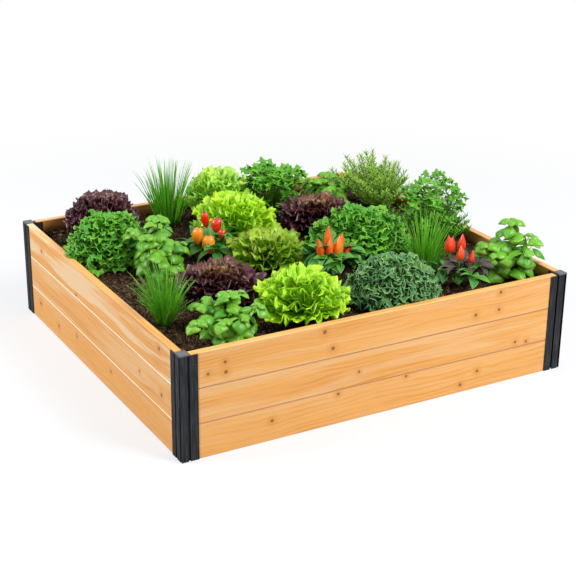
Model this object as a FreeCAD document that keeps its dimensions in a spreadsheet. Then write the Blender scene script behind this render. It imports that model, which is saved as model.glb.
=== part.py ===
import FreeCAD, Part
import math
import os
import re
import Sketcher

# A raised garden bed: four slotted corner posts, three courses of tongued planks on each
# side, pressed caps, soil, and the herbs, salads and peppers that grow in it.
#
# Frame: +X runs along the front, +Y to the back, +Z up. The origin is on the ground under the
# middle of the bed. All sizes are millimetres.

Vector = FreeCAD.Vector
UP = Vector(0, 0, 1)
os.makedirs("parts", exist_ok=True)
document = FreeCAD.newDocument("raised_garden_bed")


# --- driving sizes -------------------------------------------------------------------------

SIZES = {
    # outside of the bed, over the corner posts
    "bed_length": 1220.0,
    "bed_depth": 1160.0,
    # corner post: a slotted square tube that carries one plank channel on each of two sides
    "post_drop": 2.0,
    "post_width": 28.0,
    "bore_width": 14.0,
    "slot_width": 6.0,
    "slot_cut": 5.0,
    "slot_lip": 1.5,
    "web_thickness": 2.0,
    "flange_thickness": 2.5,
    "flange_reach": 20.5,
    "neck_length": 6.0,
    "neck_width": 14.0,
    "edge_radius": 1.0,
    # cap, pressed into the post's bore
    "cap_thickness": 4.5,
    "cap_bevel": 0.8,
    "plug_depth": 16.0,
    "plug_clearance": 0.1,
    # planks
    "plank_thickness": 22.0,
    "course_height": 98.5,
    "plank_side_clearance": 0.5,
    "plank_end_clearance": 1.0,
    "plank_edge_bevel": 1.5,
    "end_recess": 1.2,
    "end_bevel": 5.0,
    "tongue_thickness": 6.0,
    "tongue_height": 5.0,
    "tongue_clearance": 0.3,
    # screws through the inner flanges
    "screw_diameter": 4.0,
    "screw_length": 16.0,
    "screw_head_diameter": 8.0,
    "screw_head_height": 2.4,
    "screw_clearance": 0.15,
    # soil: how far it lies below the planks' top, and the low heaps on it
    "soil_drop": 45.5,
    "soil_clearance": 0.3,
    "heap_spacing": 98.0,
    "heap_width": 74.0,
    "heap_height": 6.0,
    # leaves and stems
    "salad_leaf": 3.0,
    "stem_diameter": 6.0,
    "herb_leaf": 1.6,
    "crown_height": 4.0,
    "chive_diameter": 4.0,
    "needle_length": 11.0,
    "curl_diameter": 46.0,
    "leaflet_diameter": 28.0,
    # peppers
    "pepper_length": 44.0,
    "pepper_diameter": 30.0,
    "pepper_stalk_length": 9.0,
    "pepper_stalk_diameter": 4.0,
    "stalk_clearance": 0.3,
}

COURSES = ("lower", "middle", "upper")

# The planting plan. The bed is planted on a grid of columns, counted from the left, and rows,
# counted from the front. Each plant has its column and row, how far it stands east and north
# of the middle of that spot, and its own spread and height.
PLANT_COLUMNS = 5
PLANT_ROWS = 5
PLANTS = {
    "basil_front": (0, 0, 58.0, 2.0, 156.0, 147.0),
    "lettuce_green_front": (1, 0, 56.0, 15.0, 200.0, 150.0),
    "kale_front": (2, 0, 107.0, 5.0, 200.0, 132.0),
    "pepper_right": (4, 0, -112.0, 20.0, 104.0, 101.0),
    "basil_right": (4, 0, 44.0, 14.0, 150.0, 200.0),
    "chives_left": (0, 1, -58.0, -70.0, 150.0, 190.0),
    "lettuce_red_front": (1, 1, -84.0, 8.0, 190.0, 120.0),
    "pepper_middle": (2, 1, 66.0, 48.0, 130.0, 150.0),
    "chives_right": (3, 1, 77.0, -77.0, 130.0, 212.0),
    "basil_left": (0, 2, 90.0, 70.0, 170.0, 200.0),
    "pepper_left": (1, 2, 48.0, 110.0, 130.0, 146.0),
    "lettuce_bronze_middle": (2, 2, -70.0, -40.0, 180.0, 118.0),
    "parsley_curly_middle": (3, 2, -9.0, -80.0, 196.0, 152.0),
    "parsley_flat_right": (4, 2, 64.0, -60.0, 144.0, 215.0),
    "parsley_curly_left": (0, 3, -10.0, 14.0, 180.0, 155.0),
    "lettuce_green_back": (2, 3, -43.0, 2.0, 200.0, 158.0),
    "lettuce_red_middle": (3, 3, -2.0, -32.0, 200.0, 118.0),
    "rosemary_back": (4, 3, 56.0, 57.0, 160.0, 215.0),
    "lettuce_red_back": (0, 4, 75.0, 0.0, 200.0, 146.0),
    "chives_back": (1, 4, 65.0, 5.0, 140.0, 220.0),
    "lettuce_pale_back": (2, 4, 16.0, 10.0, 176.0, 165.0),
    "parsley_flat_back": (3, 4, -33.0, -33.0, 140.0, 175.0),
    "basil_back": (4, 4, -90.0, -65.0, 144.0, 135.0),
}
for plant, (_, _, east, north, spread, height) in PLANTS.items():
    SIZES[plant + "_east"] = east
    SIZES[plant + "_north"] = north
    SIZES[plant + "_spread"] = spread
    SIZES[plant + "_height"] = height

sheet = document.addObject("Spreadsheet::Sheet", "Sizes")
for row, (name, number) in enumerate(SIZES.items(), 1):
    sheet.set(f"A{row}", name)
    sheet.set(f"B{row}", str(number))
    sheet.setAlias(f"B{row}", name)
document.recompute()


def bound(expression):
    """The expression with the sheet's name in front of each size."""
    return re.sub(r"[a-z][a-z_]+", lambda word: "Sizes." + word.group(), expression)


def size(expression):
    """The number that an expression in the sizes comes to."""
    return float(sheet.evalExpression(bound(expression)))


# --- sizes that follow from the driving ones -----------------------------------------------

WALL_HEIGHT = f"({len(COURSES)} * course_height)"
POST_HEIGHT = f"({WALL_HEIGHT} - post_drop)"
SOIL_HEIGHT = f"({WALL_HEIGHT} - soil_drop)"
SLOT = "(plank_thickness - end_recess + 2 * plank_side_clearance)"
CHANNEL_WIDTH = f"(2 * flange_thickness + {SLOT})"
CHANNEL_LENGTH = "(web_thickness + flange_reach)"
FACE_SETBACK = "(flange_thickness + plank_side_clearance - end_recess)"
NEAR_END = "(post_width + web_thickness + plank_end_clearance)"
FAR_END = f"({NEAR_END} + neck_length)"
PLANK_INNER = f"({FACE_SETBACK} + plank_thickness)"
HEAD_INNER = f"({CHANNEL_WIDTH} + screw_head_height)"
FAR_FLANGE_END = f"(post_width + neck_length + {CHANNEL_LENGTH})"

# The four sides, each seen from outside: its left end is at a corner of the bed, and its own
# x runs to the right along the side, its own y into the bed.
SIDES = {
    "front": {"turn": 0, "length": "bed_length", "corner": ("-bed_length / 2", "-bed_depth / 2")},
    "right": {"turn": 90, "length": "bed_depth", "corner": ("bed_length / 2", "-bed_depth / 2")},
    "back": {"turn": 180, "length": "bed_length", "corner": ("bed_length / 2", "bed_depth / 2")},
    "left": {"turn": 270, "length": "bed_depth", "corner": ("-bed_length / 2", "bed_depth / 2")},
}
POSTS = {"front": "front_left", "right": "front_right", "back": "back_right", "left": "back_left"}


def place_on_side(feature, side, along, inward, lift):
    """Puts a piece on a side of the bed, at distances along it, into it and up."""
    turn = SIDES[side]["turn"]
    cosine = round(math.cos(math.radians(turn)))
    sine = round(math.sin(math.radians(turn)))
    corner_x, corner_y = SIDES[side]["corner"]
    feature.Placement.Rotation = FreeCAD.Rotation(UP, turn)
    x = f"{corner_x} + {cosine} * ({along}) - {sine} * ({inward})"
    y = f"{corner_y} + {sine} * ({along}) + {cosine} * ({inward})"
    feature.setExpression("Placement.Base.x", bound(x))
    feature.setExpression("Placement.Base.y", bound(y))
    feature.setExpression("Placement.Base.z", bound(lift))


# --- modelling helpers ---------------------------------------------------------------------

def flat_sketch(body, name, plane, lift="0"):
    """An empty sketch on one of the body's own planes, lifted off it."""
    sketch = body.newObject("Sketcher::SketchObject", name)
    planes = {item.Role: item for item in body.Origin.OriginFeatures}
    sketch.AttachmentSupport = [(planes[plane], "")]
    sketch.MapMode = "FlatFace"
    if lift != "0":
        sketch.setExpression("AttachmentOffset.Base.z", bound(lift))
    return sketch


def bind_rules(sketch, rules):
    """Adds constraints to a sketch, each of them driven by its expression."""
    first = sketch.ConstraintCount
    sketch.addConstraint([rule for rule, _ in rules])
    for number, (_, expression) in enumerate(rules, first):
        sketch.renameConstraint(number, f"rule_{number}")
        sketch.setExpression(f"Constraints.rule_{number}", bound(expression))


def point_rules(geometry, vertex, point):
    """Constraints that hold a point of a sketch at two expressions."""
    rules = []
    for axis, expression in zip("XY", point):
        kind = "Distance" + axis
        rule = Sketcher.Constraint(kind, -1, 1, geometry, vertex, size(expression))
        rules.append((rule, expression))
    return rules


def outline_sketch(body, name, plane, loops):
    """Closed outlines of straight runs, each corner held by two expressions."""
    sketch = flat_sketch(body, name, plane)
    joints, rules = [], []
    for corners in loops:
        first, count = sketch.GeometryCount, len(corners)
        points = [Vector(size(x), size(y), 0) for x, y in corners]
        for start, end in zip(points, points[1:] + points[:1]):
            sketch.addGeometry(Part.LineSegment(start, end), False)
        for index in range(count):
            after = first + (index + 1) % count
            joints.append(Sketcher.Constraint("Coincident", first + index, 2, after, 1))
        for index, corner in enumerate(corners):
            rules += point_rules(first + index, 1, corner)
    sketch.addConstraint(joints)
    bind_rules(sketch, rules)
    return sketch


def rectangle(left, near, width, depth):
    """The corners of a rectangle from its lowest corner and its two sizes."""
    right = f"{left} + {width}"
    far = f"{near} + {depth}"
    return [(left, near), (right, near), (right, far), (left, far)]


def pad(body, name, plane, loops, length):
    """A solid block on each of some outlines."""
    sketch = outline_sketch(body, name + "_outline", plane, loops)
    feature = body.newObject("PartDesign::Pad", name)
    feature.Profile = sketch
    feature.setExpression("Length", bound(length))
    return feature


def pocket_up(body, name, loops):
    """A cut of some outlines from the floor right up through the piece."""
    sketch = outline_sketch(body, name + "_outline", "XY_Plane", loops)
    feature = body.newObject("PartDesign::Pocket", name)
    feature.Profile = sketch
    feature.Type = "ThroughAll"
    feature.Reversed = True
    return feature


def round_holes(body, name, plane, centres, radius, lift, length, backwards=False):
    """A row of round holes of one length, from a plane that is lifted off the body's own."""
    sketch = flat_sketch(body, name + "_circles", plane, lift)
    rules = []
    for number, centre in enumerate(centres):
        middle = Vector(size(centre[0]), size(centre[1]), 0)
        sketch.addGeometry(Part.Circle(middle, Vector(0, 0, 1), size(radius)), False)
        rules += point_rules(number, 3, centre)
        rules.append((Sketcher.Constraint("Radius", number, size(radius)), radius))
    bind_rules(sketch, rules)
    feature = body.newObject("PartDesign::Pocket", name)
    feature.Profile = sketch
    feature.setExpression("Length", bound(length))
    feature.Reversed = backwards
    return feature


def upright_edges(feature, spots):
    """Names of the feature's upright edges that stand on the given spots."""
    names = []
    for number, edge in enumerate(feature.Shape.Edges, 1):
        low, high = edge.BoundBox.getPoint(0), edge.BoundBox.getPoint(6)
        upright = abs(high.x - low.x) < 1e-6 and abs(high.y - low.y) < 1e-6
        if upright and any(math.hypot(low.x - x, low.y - y) < 1e-3 for x, y in spots):
            names.append(f"Edge{number}")
    return names


def dress(body, kind, name, edges, number, expression):
    """Rounds or bevels some edges of a body: edges picks them from its last feature."""
    base = body.Tip
    feature = body.newObject("PartDesign::" + kind, name)
    feature.Base = (base, edges(base))
    feature.setExpression(number, bound(expression))


nodes = []


def new_body(name):
    """A body that becomes one sub-part."""
    body = document.addObject("PartDesign::Body", name)
    body.Label = name
    nodes.append(body)
    return body


def new_solid(name, shape, x="0", y="0", z="0"):
    """A free-form sub-part, placed after its shape is set."""
    feature = document.addObject("Part::Feature", name)
    feature.Label = name
    feature.Shape = shape
    feature.Placement = FreeCAD.Placement(Vector(size(x), size(y), size(z)), FreeCAD.Rotation())
    nodes.append(feature)
    return feature


# --- corner posts --------------------------------------------------------------------------

NEAR_SCREW = "(post_width + web_thickness + flange_reach / 2)"
FAR_SCREW = f"({NEAR_SCREW} + neck_length)"
INNER_FLANGE = f"(flange_thickness + {SLOT})"
SCREW_HOLE = "(screw_diameter / 2 + screw_clearance)"


def swapped(corners):
    """The outline mirrored about the diagonal of the corner."""
    return [(y, x) for x, y in reversed(corners)]


def screw_height(course):
    """Height of the screws of a course: the middle of its planks."""
    return f"{course + 0.5} * course_height"


def corner_post(side):
    """A post in the frame of the side whose left end it stands at."""
    body = new_body("corner_post_" + POSTS[side])
    tube = rectangle("0", "0", "post_width", "post_width")
    pad(body, "tube", "XY_Plane", [tube], POST_HEIGHT)
    near, far = "post_width - slot_lip - slot_width", "post_width - slot_cut"
    margin = "(post_width - bore_width) / 2"
    pocket_up(body, "slots_and_bore", [
        rectangle(near, "0", "slot_width", "slot_cut"),
        rectangle(far, near, "slot_cut", "slot_width"),
        rectangle("slot_lip", far, "slot_width", "slot_cut"),
        rectangle("0", "slot_lip", "slot_cut", "slot_width"),
        rectangle(margin, margin, "bore_width", "bore_width"),
    ])
    # one channel stands against the tube; the other is off its far side, beyond the neck
    far_start = "post_width + neck_length"
    pad(body, "channels", "XY_Plane", [
        rectangle("post_width", "0", CHANNEL_LENGTH, CHANNEL_WIDTH),
        swapped(rectangle(far_start, "0", CHANNEL_LENGTH, CHANNEL_WIDTH)),
    ], POST_HEIGHT)
    neck_side = "(post_width - neck_width) / 2"
    neck = rectangle(neck_side, "post_width", "neck_width", "neck_length")
    pad(body, "neck", "XY_Plane", [neck], POST_HEIGHT)
    near_slot = ("post_width + web_thickness", "flange_thickness", "flange_reach", SLOT)
    far_slot = (far_start + " + web_thickness", "flange_thickness", "flange_reach", SLOT)
    pocket_up(body, "plank_slots", [rectangle(*near_slot), swapped(rectangle(*far_slot))])
    # the screw holes start a clearance short of each inner flange and end one beyond it
    levels = [screw_height(course) for course in range(len(COURSES))]
    start = f"{INNER_FLANGE} - plank_side_clearance"
    length = "flange_thickness + 2 * plank_side_clearance"
    near_holes = [(NEAR_SCREW, level) for level in levels]
    far_holes = [(FAR_SCREW, level) for level in levels]
    round_holes(body, "near_screw_holes", "XZ_Plane", near_holes, SCREW_HOLE,
                f"-({start})", length)
    round_holes(body, "far_screw_holes", "YZ_Plane", far_holes, SCREW_HOLE, start, length, True)
    place_on_side(body, side, "0", "0", "0")
    return body


def rounded_edges(tube):
    """The outer corner of a post and the free edges of its outer flanges."""
    near_end = size(f"post_width + {CHANNEL_LENGTH}")
    far_end = size(FAR_FLANGE_END)
    wall = size("flange_thickness")
    return upright_edges(tube, [(0, 0), (near_end, 0), (near_end, wall), (0, far_end),
                                (wall, far_end)])


posts = [corner_post(side) for side in SIDES]
document.recompute()
for post in posts:
    dress(post, "Fillet", "edge_rounds", rounded_edges, "Radius", "edge_radius")


# --- caps ----------------------------------------------------------------------------------

def corner_cap(side):
    """A flat cap on the post, with a square plug that goes down into the bore."""
    body = new_body("corner_cap_" + POSTS[side])
    plate = rectangle("0", "0", "post_width", "post_width")
    pad(body, "plate", "XY_Plane", [plate], "cap_thickness")
    margin = "(post_width - bore_width) / 2 + plug_clearance"
    plug_side = "bore_width - 2 * plug_clearance"
    plug = rectangle(margin, margin, plug_side, plug_side)
    plug_pad = pad(body, "plug", "XY_Plane", [plug], "plug_depth")
    plug_pad.Reversed = True
    place_on_side(body, side, "0", "0", POST_HEIGHT)
    return body


def top_edges(plate):
    """The edges round the top of a cap."""
    top = size("cap_thickness")
    edges = enumerate(plate.Shape.Edges, 1)
    return [f"Edge{number}" for number, edge in edges if abs(edge.BoundBox.ZMin - top) < 1e-6]


caps = [corner_cap(side) for side in SIDES]
document.recompute()
for cap in caps:
    dress(cap, "Chamfer", "top_bevel", top_edges, "Size", "cap_bevel")


# --- planks --------------------------------------------------------------------------------

def plank_section(course):
    """Corners of a plank's section: bevelled outside, a groove below, a tongue on top."""
    groove = "(tongue_thickness + 2 * tongue_clearance)"
    groove_side = f"(plank_thickness - {groove}) / 2"
    tongue_side = "(plank_thickness - tongue_thickness) / 2"
    bevel = "plank_edge_bevel"
    corners = [("0", bevel), (bevel, "0")]
    if COURSES[course] != "lower":
        depth = "tongue_height + tongue_clearance"
        corners += [(groove_side, "0"), (groove_side, depth),
                    (f"{groove_side} + {groove}", depth), (f"{groove_side} + {groove}", "0")]
    corners.append(("plank_thickness", "0"))
    if COURSES[course] == "upper":
        corners += [("plank_thickness", f"course_height - {bevel}"),
                    (f"plank_thickness - {bevel}", "course_height")]
    else:
        tongue_top = "course_height + tongue_height"
        tongue_end = f"{tongue_side} + tongue_thickness"
        corners += [("plank_thickness", "course_height"), (tongue_end, "course_height"),
                    (tongue_end, tongue_top), (tongue_side, tongue_top),
                    (tongue_side, "course_height")]
    corners += [(bevel, "course_height"), ("0", f"course_height - {bevel}")]
    return corners


def plank(side, course):
    """One plank, in a frame with its near end at x = 0 and its outer face at y = 0."""
    body = new_body(f"plank_{side}_{COURSES[course]}")
    length = f"({SIDES[side]['length']} - {NEAR_END} - {FAR_END})"
    pad(body, "moulding", "YZ_Plane", [plank_section(course)], length)
    in_channel = "(flange_reach - plank_end_clearance)"
    shoulder = f"{in_channel} + end_bevel"
    near_end = [("0", "0"), (shoulder, "0"), (in_channel, "end_recess"), ("0", "end_recess")]
    far_end = [(f"{length} - ({x})", y) for x, y in reversed(near_end)]
    pocket_up(body, "end_recesses", [near_end, far_end])
    # the pilot holes reach a clearance deeper than the screws do
    head_seat = f"({CHANNEL_WIDTH} - {FACE_SETBACK})"
    deepest = f"({head_seat} - screw_length - plank_side_clearance)"
    from_end = "flange_reach / 2 - plank_end_clearance"
    middle = "course_height / 2"
    centres = [(from_end, middle), (f"{length} - ({from_end})", middle)]
    round_holes(body, "pilot_holes", "XZ_Plane", centres, SCREW_HOLE, f"-{deepest}",
                f"plank_thickness - {deepest} + 1")
    place_on_side(body, side, NEAR_END, FACE_SETBACK, f"{course} * course_height")


for side in SIDES:
    for course in range(len(COURSES)):
        plank(side, course)


# --- screws --------------------------------------------------------------------------------

def screw_at(side, along, course):
    """A pan-head screw: its head on the inner flange, its shank out into the plank's end."""
    shank = Part.makeCylinder(size("screw_diameter / 2"), size("screw_length"))
    shank.translate(Vector(0, 0, -size("screw_length")))
    head = Part.makeCylinder(size("screw_head_diameter / 2"), size("screw_head_height"))
    screw = shank.fuse(head).removeSplitter()
    screw.rotate(Vector(), Vector(1, 0, 0), -90)
    screw.translate(Vector(size(along), size(CHANNEL_WIDTH), size(screw_height(course))))
    screw.rotate(Vector(), UP, SIDES[side]["turn"])
    corner_x, corner_y = SIDES[side]["corner"]
    screw.translate(Vector(size(corner_x), size(corner_y), 0))
    return screw


screws = []
for side in SIDES:
    for course in range(len(COURSES)):
        side_length = SIDES[side]["length"]
        screws.append(screw_at(side, NEAR_SCREW, course))
        screws.append(screw_at(side, f"{side_length} - {FAR_SCREW}", course))
new_solid("plank_screws", Part.makeCompound(screws))


# --- free forms ----------------------------------------------------------------------------

def turned(outline):
    """The solid that an outline of (radius, height) points sweeps round the Z axis."""
    points = [Vector(radius, 0, height) for radius, height in outline]
    outline_wire = Part.makePolygon(points + points[:1])
    return Part.Face(outline_wire).revolve(Vector(), UP, 360)


def skin(rings):
    """A solid with flat triangular sides through rings of points. The last may be one point."""
    faces = []

    def side(*corners):
        faces.append(Part.Face(Part.makePolygon([*corners, corners[0]])))

    for low, high in zip(rings, rings[1:]):
        for index, point in enumerate(low):
            after = (index + 1) % len(low)
            if len(high) == 1:
                side(point, low[after], high[0])
            else:
                side(point, low[after], high[after])
                side(point, high[after], high[index])
    side(*rings[0])
    if len(rings[-1]) > 1:
        side(*rings[-1])
    shell = Part.makeShell(faces)
    shell.sewShape()
    solid = Part.makeSolid(shell)
    if solid.Volume < 0:
        solid.reverse()
    return solid


def ring(middle, direction, radius, sides, twist=0.0):
    """Points evenly round a middle, square to a direction; the twist is a share of a side."""
    turn = FreeCAD.Rotation(UP, direction)
    points = []
    for index in range(sides):
        angle = 2 * math.pi * (index + twist) / sides
        spoke = Vector(math.cos(angle), math.sin(angle), 0) * radius
        points.append(middle + turn.multVec(spoke))
    return points


# --- planting plan -------------------------------------------------------------------------


def spot(plant):
    """Where a plant stands on the planting grid, as two expressions."""
    column, row = PLANTS[plant][:2]
    middle_column = (PLANT_COLUMNS - 1) / 2
    middle_row = (PLANT_ROWS - 1) / 2
    column_pitch = f"(bed_length - 2 * {PLANK_INNER}) / {PLANT_COLUMNS}"
    row_pitch = f"(bed_depth - 2 * {PLANK_INNER}) / {PLANT_ROWS}"
    x = f"{column - middle_column} * {column_pitch} + {plant}_east"
    y = f"{row - middle_row} * {row_pitch} + {plant}_north"
    return x, y


# --- soil ----------------------------------------------------------------------------------

def soil_block(name, inset_x, inset_y):
    """One block of soil, set in from the bed's outside by an inset on each axis."""
    block = document.addObject("Part::Box", name)
    block.setExpression("Length", bound(f"bed_length - 2 * ({inset_x})"))
    block.setExpression("Width", bound(f"bed_depth - 2 * ({inset_y})"))
    block.setExpression("Height", bound(SOIL_HEIGHT))
    block.setExpression("Placement.Base.x", bound(f"{inset_x} - bed_length / 2"))
    block.setExpression("Placement.Base.y", bound(f"{inset_y} - bed_depth / 2"))
    return block


def heap_is_clear(x, y, radius):
    """Whether a heap lies clear of every plant's foot, and of all of a pepper plant."""
    for plant in PLANTS:
        east, north = spot(plant)
        foot = 1.1 if plant.startswith("pepper") else 0.56
        reach = foot * size(f"{plant}_spread / 2")
        if math.hypot(x - size(east), y - size(north)) < reach + radius:
            return False
    return True


def soil_heaps():
    """Low uneven heaps over the soil, at an even spacing, wherever no plant stands."""
    heaps = []
    spacing = size("heap_spacing")
    low = size(f"{SOIL_HEIGHT} - heap_height / 2")
    inset = f"({AT_PLANKS} + 0.7 * heap_width)"
    columns = int(size(f"bed_length / 2 - {inset}") / spacing)
    rows = int(size(f"bed_depth / 2 - {inset}") / spacing)
    for column in range(-columns, columns + 1):
        for row in range(-rows, rows + 1):
            uneven = math.sin(2.3 * column + 1.7 * row)
            radius = size("heap_width / 2") * (1 + 0.12 * uneven)
            x = (column + 0.1 * uneven) * spacing
            y = (row + 0.1 * math.sin(3.1 * column)) * spacing
            if heap_is_clear(x, y, radius):
                foot = Vector(x, y, low)
                top = foot + UP * size("1.5 * heap_height") * (1 - 0.1 * uneven)
                heaps.append(skin([ring(foot, UP, 1.25 * radius, 7, uneven),
                                   ring(top, UP, 0.5 * radius, 7, uneven)]))
    return heaps


AT_PLANKS = f"{PLANK_INNER} + soil_clearance"
AT_SCREWS = f"{HEAD_INNER} + soil_clearance"
AT_FLANGES = f"{FAR_FLANGE_END} + soil_clearance"
soil = document.addObject("Part::MultiFuse", "soil")
soil.Label = "soil"
heaped = document.addObject("Part::Feature", "soil_heaps")
heaped.Shape = Part.makeCompound(soil_heaps())
soil.Shapes = [
    soil_block("soil_middle", AT_SCREWS, AT_SCREWS),
    soil_block("soil_to_ends", AT_PLANKS, AT_FLANGES),
    soil_block("soil_to_sides", AT_FLANGES, AT_PLANKS),
    heaped,
]
soil.Refine = True
nodes.append(soil)


# --- plants --------------------------------------------------------------------------------

def new_plant(name, shape, plant=None):
    """A plant, or something it bears, on the soil at the plant's spot."""
    x, y = spot(plant or name)
    return new_solid(name, shape, x, y, SOIL_HEIGHT)


def bud(middle, radius, flatness=1.0):
    """A round leaf head with flat facets."""
    rings = []
    for number, latitude in enumerate((-60, -20, 20, 60)):
        rise = math.sin(math.radians(latitude)) * radius * flatness
        width = math.cos(math.radians(latitude)) * radius
        rings.append(ring(middle + Vector(0, 0, rise), UP, width, 7, 0.5 * number))
    rings.append([middle + Vector(0, 0, radius * flatness)])
    return skin(rings)


def stalk(foot, tip, radius, sides=5):
    """A straight stalk that tapers to half its thickness."""
    along = tip - foot
    return skin([ring(foot, along, radius, sides), ring(tip, along, radius / 2, sides)])


def notches(count, phase, inner, outer, low, high):
    """Upright wedges that part the leaves of one whorl."""
    wedges = []
    half_angle = math.pi / count * 0.5
    for index in range(count):
        middle = 2 * math.pi * (index + phase) / count
        corners = [Vector(inner * math.cos(middle), inner * math.sin(middle), low)]
        for angle in (middle - half_angle, middle + half_angle):
            corners.append(Vector(outer * math.cos(angle), outer * math.sin(angle), low))
        face = Part.Face(Part.makePolygon(corners + corners[:1]))
        wedges.append(face.extrude(Vector(0, 0, high - low)))
    return wedges


def salad(plant, outer_leaves=8, inner_leaves=6):
    """A head of lettuce: a heart in two cupped whorls of leaves."""
    reach = size(f"{plant}_spread / 2")
    tall = size(f"{plant}_height")
    leaf = size("salad_leaf")
    outer_side = [(0.24, 0), (0.52, 0.05), (0.80, 0.17), (1, 0.40)]
    axil_side = [(0.76, 0.19), (0.50, 0.09), (0.26, 0.14)]
    inner_side = [(0.50, 0.34), (0.62, 0.56), (0.68, 0.80)]
    heart_side = [(0.52, 0.56), (0.24, 0.40), (0.34, 0.70), (0.20, 0.92), (0.06, 1), (0, 1)]

    def scaled(shares, lift):
        return [(share_x * reach, share_z * tall + lift) for share_x, share_z in shares]

    rim = (reach - leaf, 0.40 * tall + leaf)
    inner_rim = (0.68 * reach - leaf, 0.80 * tall + leaf)
    outline = [(0, 0), *scaled(outer_side, 0), rim, *scaled(axil_side, leaf),
               *scaled(inner_side, 0), inner_rim, *scaled(heart_side, 0)]
    whorls = turned(outline)
    cuts = notches(outer_leaves, 0, 0.60 * reach, 1.1 * reach, -1, 0.52 * tall)
    cuts += notches(inner_leaves, 0.5, 0.44 * reach, 0.8 * reach, 0.56 * tall, 1.1 * tall)
    new_plant(plant, whorls.cut(cuts))


def leaf_blade(length, width, rise, droop):
    """A leaf from the origin along +X: it starts at the angle rise and bends down by droop."""
    thickness = size("herb_leaf")
    steps = 24
    sections = []
    for share, breadth in ((0, 0.14), (0.25, 0.80), (0.5, 1.0), (0.8, 0.66), (1, 0)):
        x = z = 0
        for step in range(steps):
            angle = math.radians(rise - droop * share * (step + 0.5) / steps)
            x += math.cos(angle) * length * share / steps
            z += math.sin(angle) * length * share / steps
        middle = Vector(x, 0, z)
        tilt = math.radians(rise - droop * share)
        above = Vector(-math.sin(tilt), 0, math.cos(tilt)) * thickness / 2
        across = Vector(0, width * breadth / 2, 0)
        section = [middle - across, middle - above, middle + across, middle + above]
        sections.append(section if breadth else [middle])
    return skin(sections)


def turned_leaf(blade, azimuth, height):
    """A copy of a leaf at an azimuth and a height, from just off the middle of the stem."""
    copy = blade.copy()
    copy.translate(Vector(size("stem_diameter / 16"), 0, 0))
    copy.rotate(Vector(), UP, azimuth)
    copy.translate(Vector(0, 0, height))
    return copy


def stem(tall):
    """A plant's upright stem."""
    return stalk(Vector(), Vector(0, 0, tall), size("stem_diameter / 2"), 7)


def crown(radius):
    """The low crown at the soil that a tuft of stems grows from."""
    high = size("crown_height")
    return skin([ring(Vector(), UP, radius, 12), ring(Vector(0, 0, high), UP, 0.8 * radius, 12)])


def above_soil(shape, reach):
    """The shape without what lies under the soil's surface."""
    depth = size("crown_height")
    below = Part.makeBox(4 * reach, 4 * reach, depth, Vector(-2 * reach, -2 * reach, -depth))
    return shape.cut(below)


def basil(plant, levels=5):
    """A basil bush: pairs of drooping leaves, each pair square to the one below."""
    reach = size(f"{plant}_spread / 2")
    tall = size(f"{plant}_height")
    leaves = []
    for level in range(levels):
        share = level / (levels - 1)
        blade = leaf_blade(reach * (1.06 - 0.5 * share), reach * (0.62 - 0.2 * share), 38, 85)
        for side in (0, 180):
            azimuth = 90 * (level % 2) + side + 12 * level
            leaves.append(turned_leaf(blade, azimuth, tall * (0.22 + 0.62 * share)))
    new_plant(plant, stem(0.94 * tall).multiFuse(leaves))


def chives(plant, blades=26):
    """A tuft of thin blades that bend out more the further they stand from the middle."""
    reach = size(f"{plant}_spread / 2")
    tall = size(f"{plant}_height")
    radius = size("chive_diameter / 2")
    base = 0.34 * reach
    tuft = []
    for index in range(blades):
        share = math.sqrt((index + 0.5) / blades)
        angle = math.radians(137.508 * index)
        outward = Vector(math.cos(angle), math.sin(angle), 0)
        foot = outward * (base - radius) * share
        bend = outward * (0.36 * reach * share)
        tip = outward * (reach - radius) * share
        foot.z, bend.z, tip.z = 0, 0.55 * tall, tall * (1 - 0.42 * share ** 2)
        tuft.append(skin([ring(foot, bend - foot, radius, 4), ring(bend, tip - foot, radius, 4),
                          [tip]]))
    new_plant(plant, above_soil(crown(base).multiFuse(tuft), reach))


def curled(plant, rings=((0, 0, 1), (0.46, 0.28, 5), (1, 0.62, 8))):
    """A mound of curled leaf heads, in rings of a share of the spread, drop and count."""
    reach = size(f"{plant}_spread / 2")
    tall = size(f"{plant}_height")
    radius = size("curl_diameter / 2")
    heads = []
    for spread, drop, count in rings:
        for index in range(count):
            angle = 2 * math.pi * (index + 0.5 * (count % 2)) / count
            out = (reach - radius) * spread
            middle = Vector(out * math.cos(angle), out * math.sin(angle),
                            (tall - radius) * (1 - drop))
            heads.append(bud(middle, radius))
    widths = ((0.24, 0), (0.60, 0.16), (0.74, 0.38), (0.56, 0.66), (0.2, 0.86))
    mound = skin([ring(Vector(0, 0, high * tall), UP, wide * reach, 11) for wide, high in widths])
    new_plant(plant, mound.multiFuse(heads))


def rosemary(plant, sprigs=7):
    """Upright sprigs, each with whorls of needles up its woody stem."""
    reach = size(f"{plant}_spread / 2")
    tall = size(f"{plant}_height")
    needle = size("needle_length")
    wood = size("stem_diameter / 4")
    bush = []
    for index in range(sprigs):
        share = 0 if index == 0 else 1
        angle = math.radians(360 * index / (sprigs - 1))
        lean = math.radians(20 * share)
        outward = Vector(math.cos(angle), math.sin(angle), 0)
        along = outward * math.sin(lean) + UP * math.cos(lean)
        foot = outward * (0.16 * reach * share)
        length = tall * (0.99 if index == 0 else 0.84 + 0.05 * (index % 3))
        steps = int(length / needle) - 2
        rings = [ring(foot, along, wood, 5)]
        for step in range(steps):
            base = needle * (step + 1.5)
            width = needle * (1.15 - 0.6 * step / steps)
            rings.append(ring(foot + along * base, along, wood, 5))
            rings.append(ring(foot + along * (base + 0.7 * needle), along, width, 5))
        rings.append([foot + along * length])
        bush.append(skin(rings))
    new_plant(plant, above_soil(crown(0.34 * reach).multiFuse(bush), reach))


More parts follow.
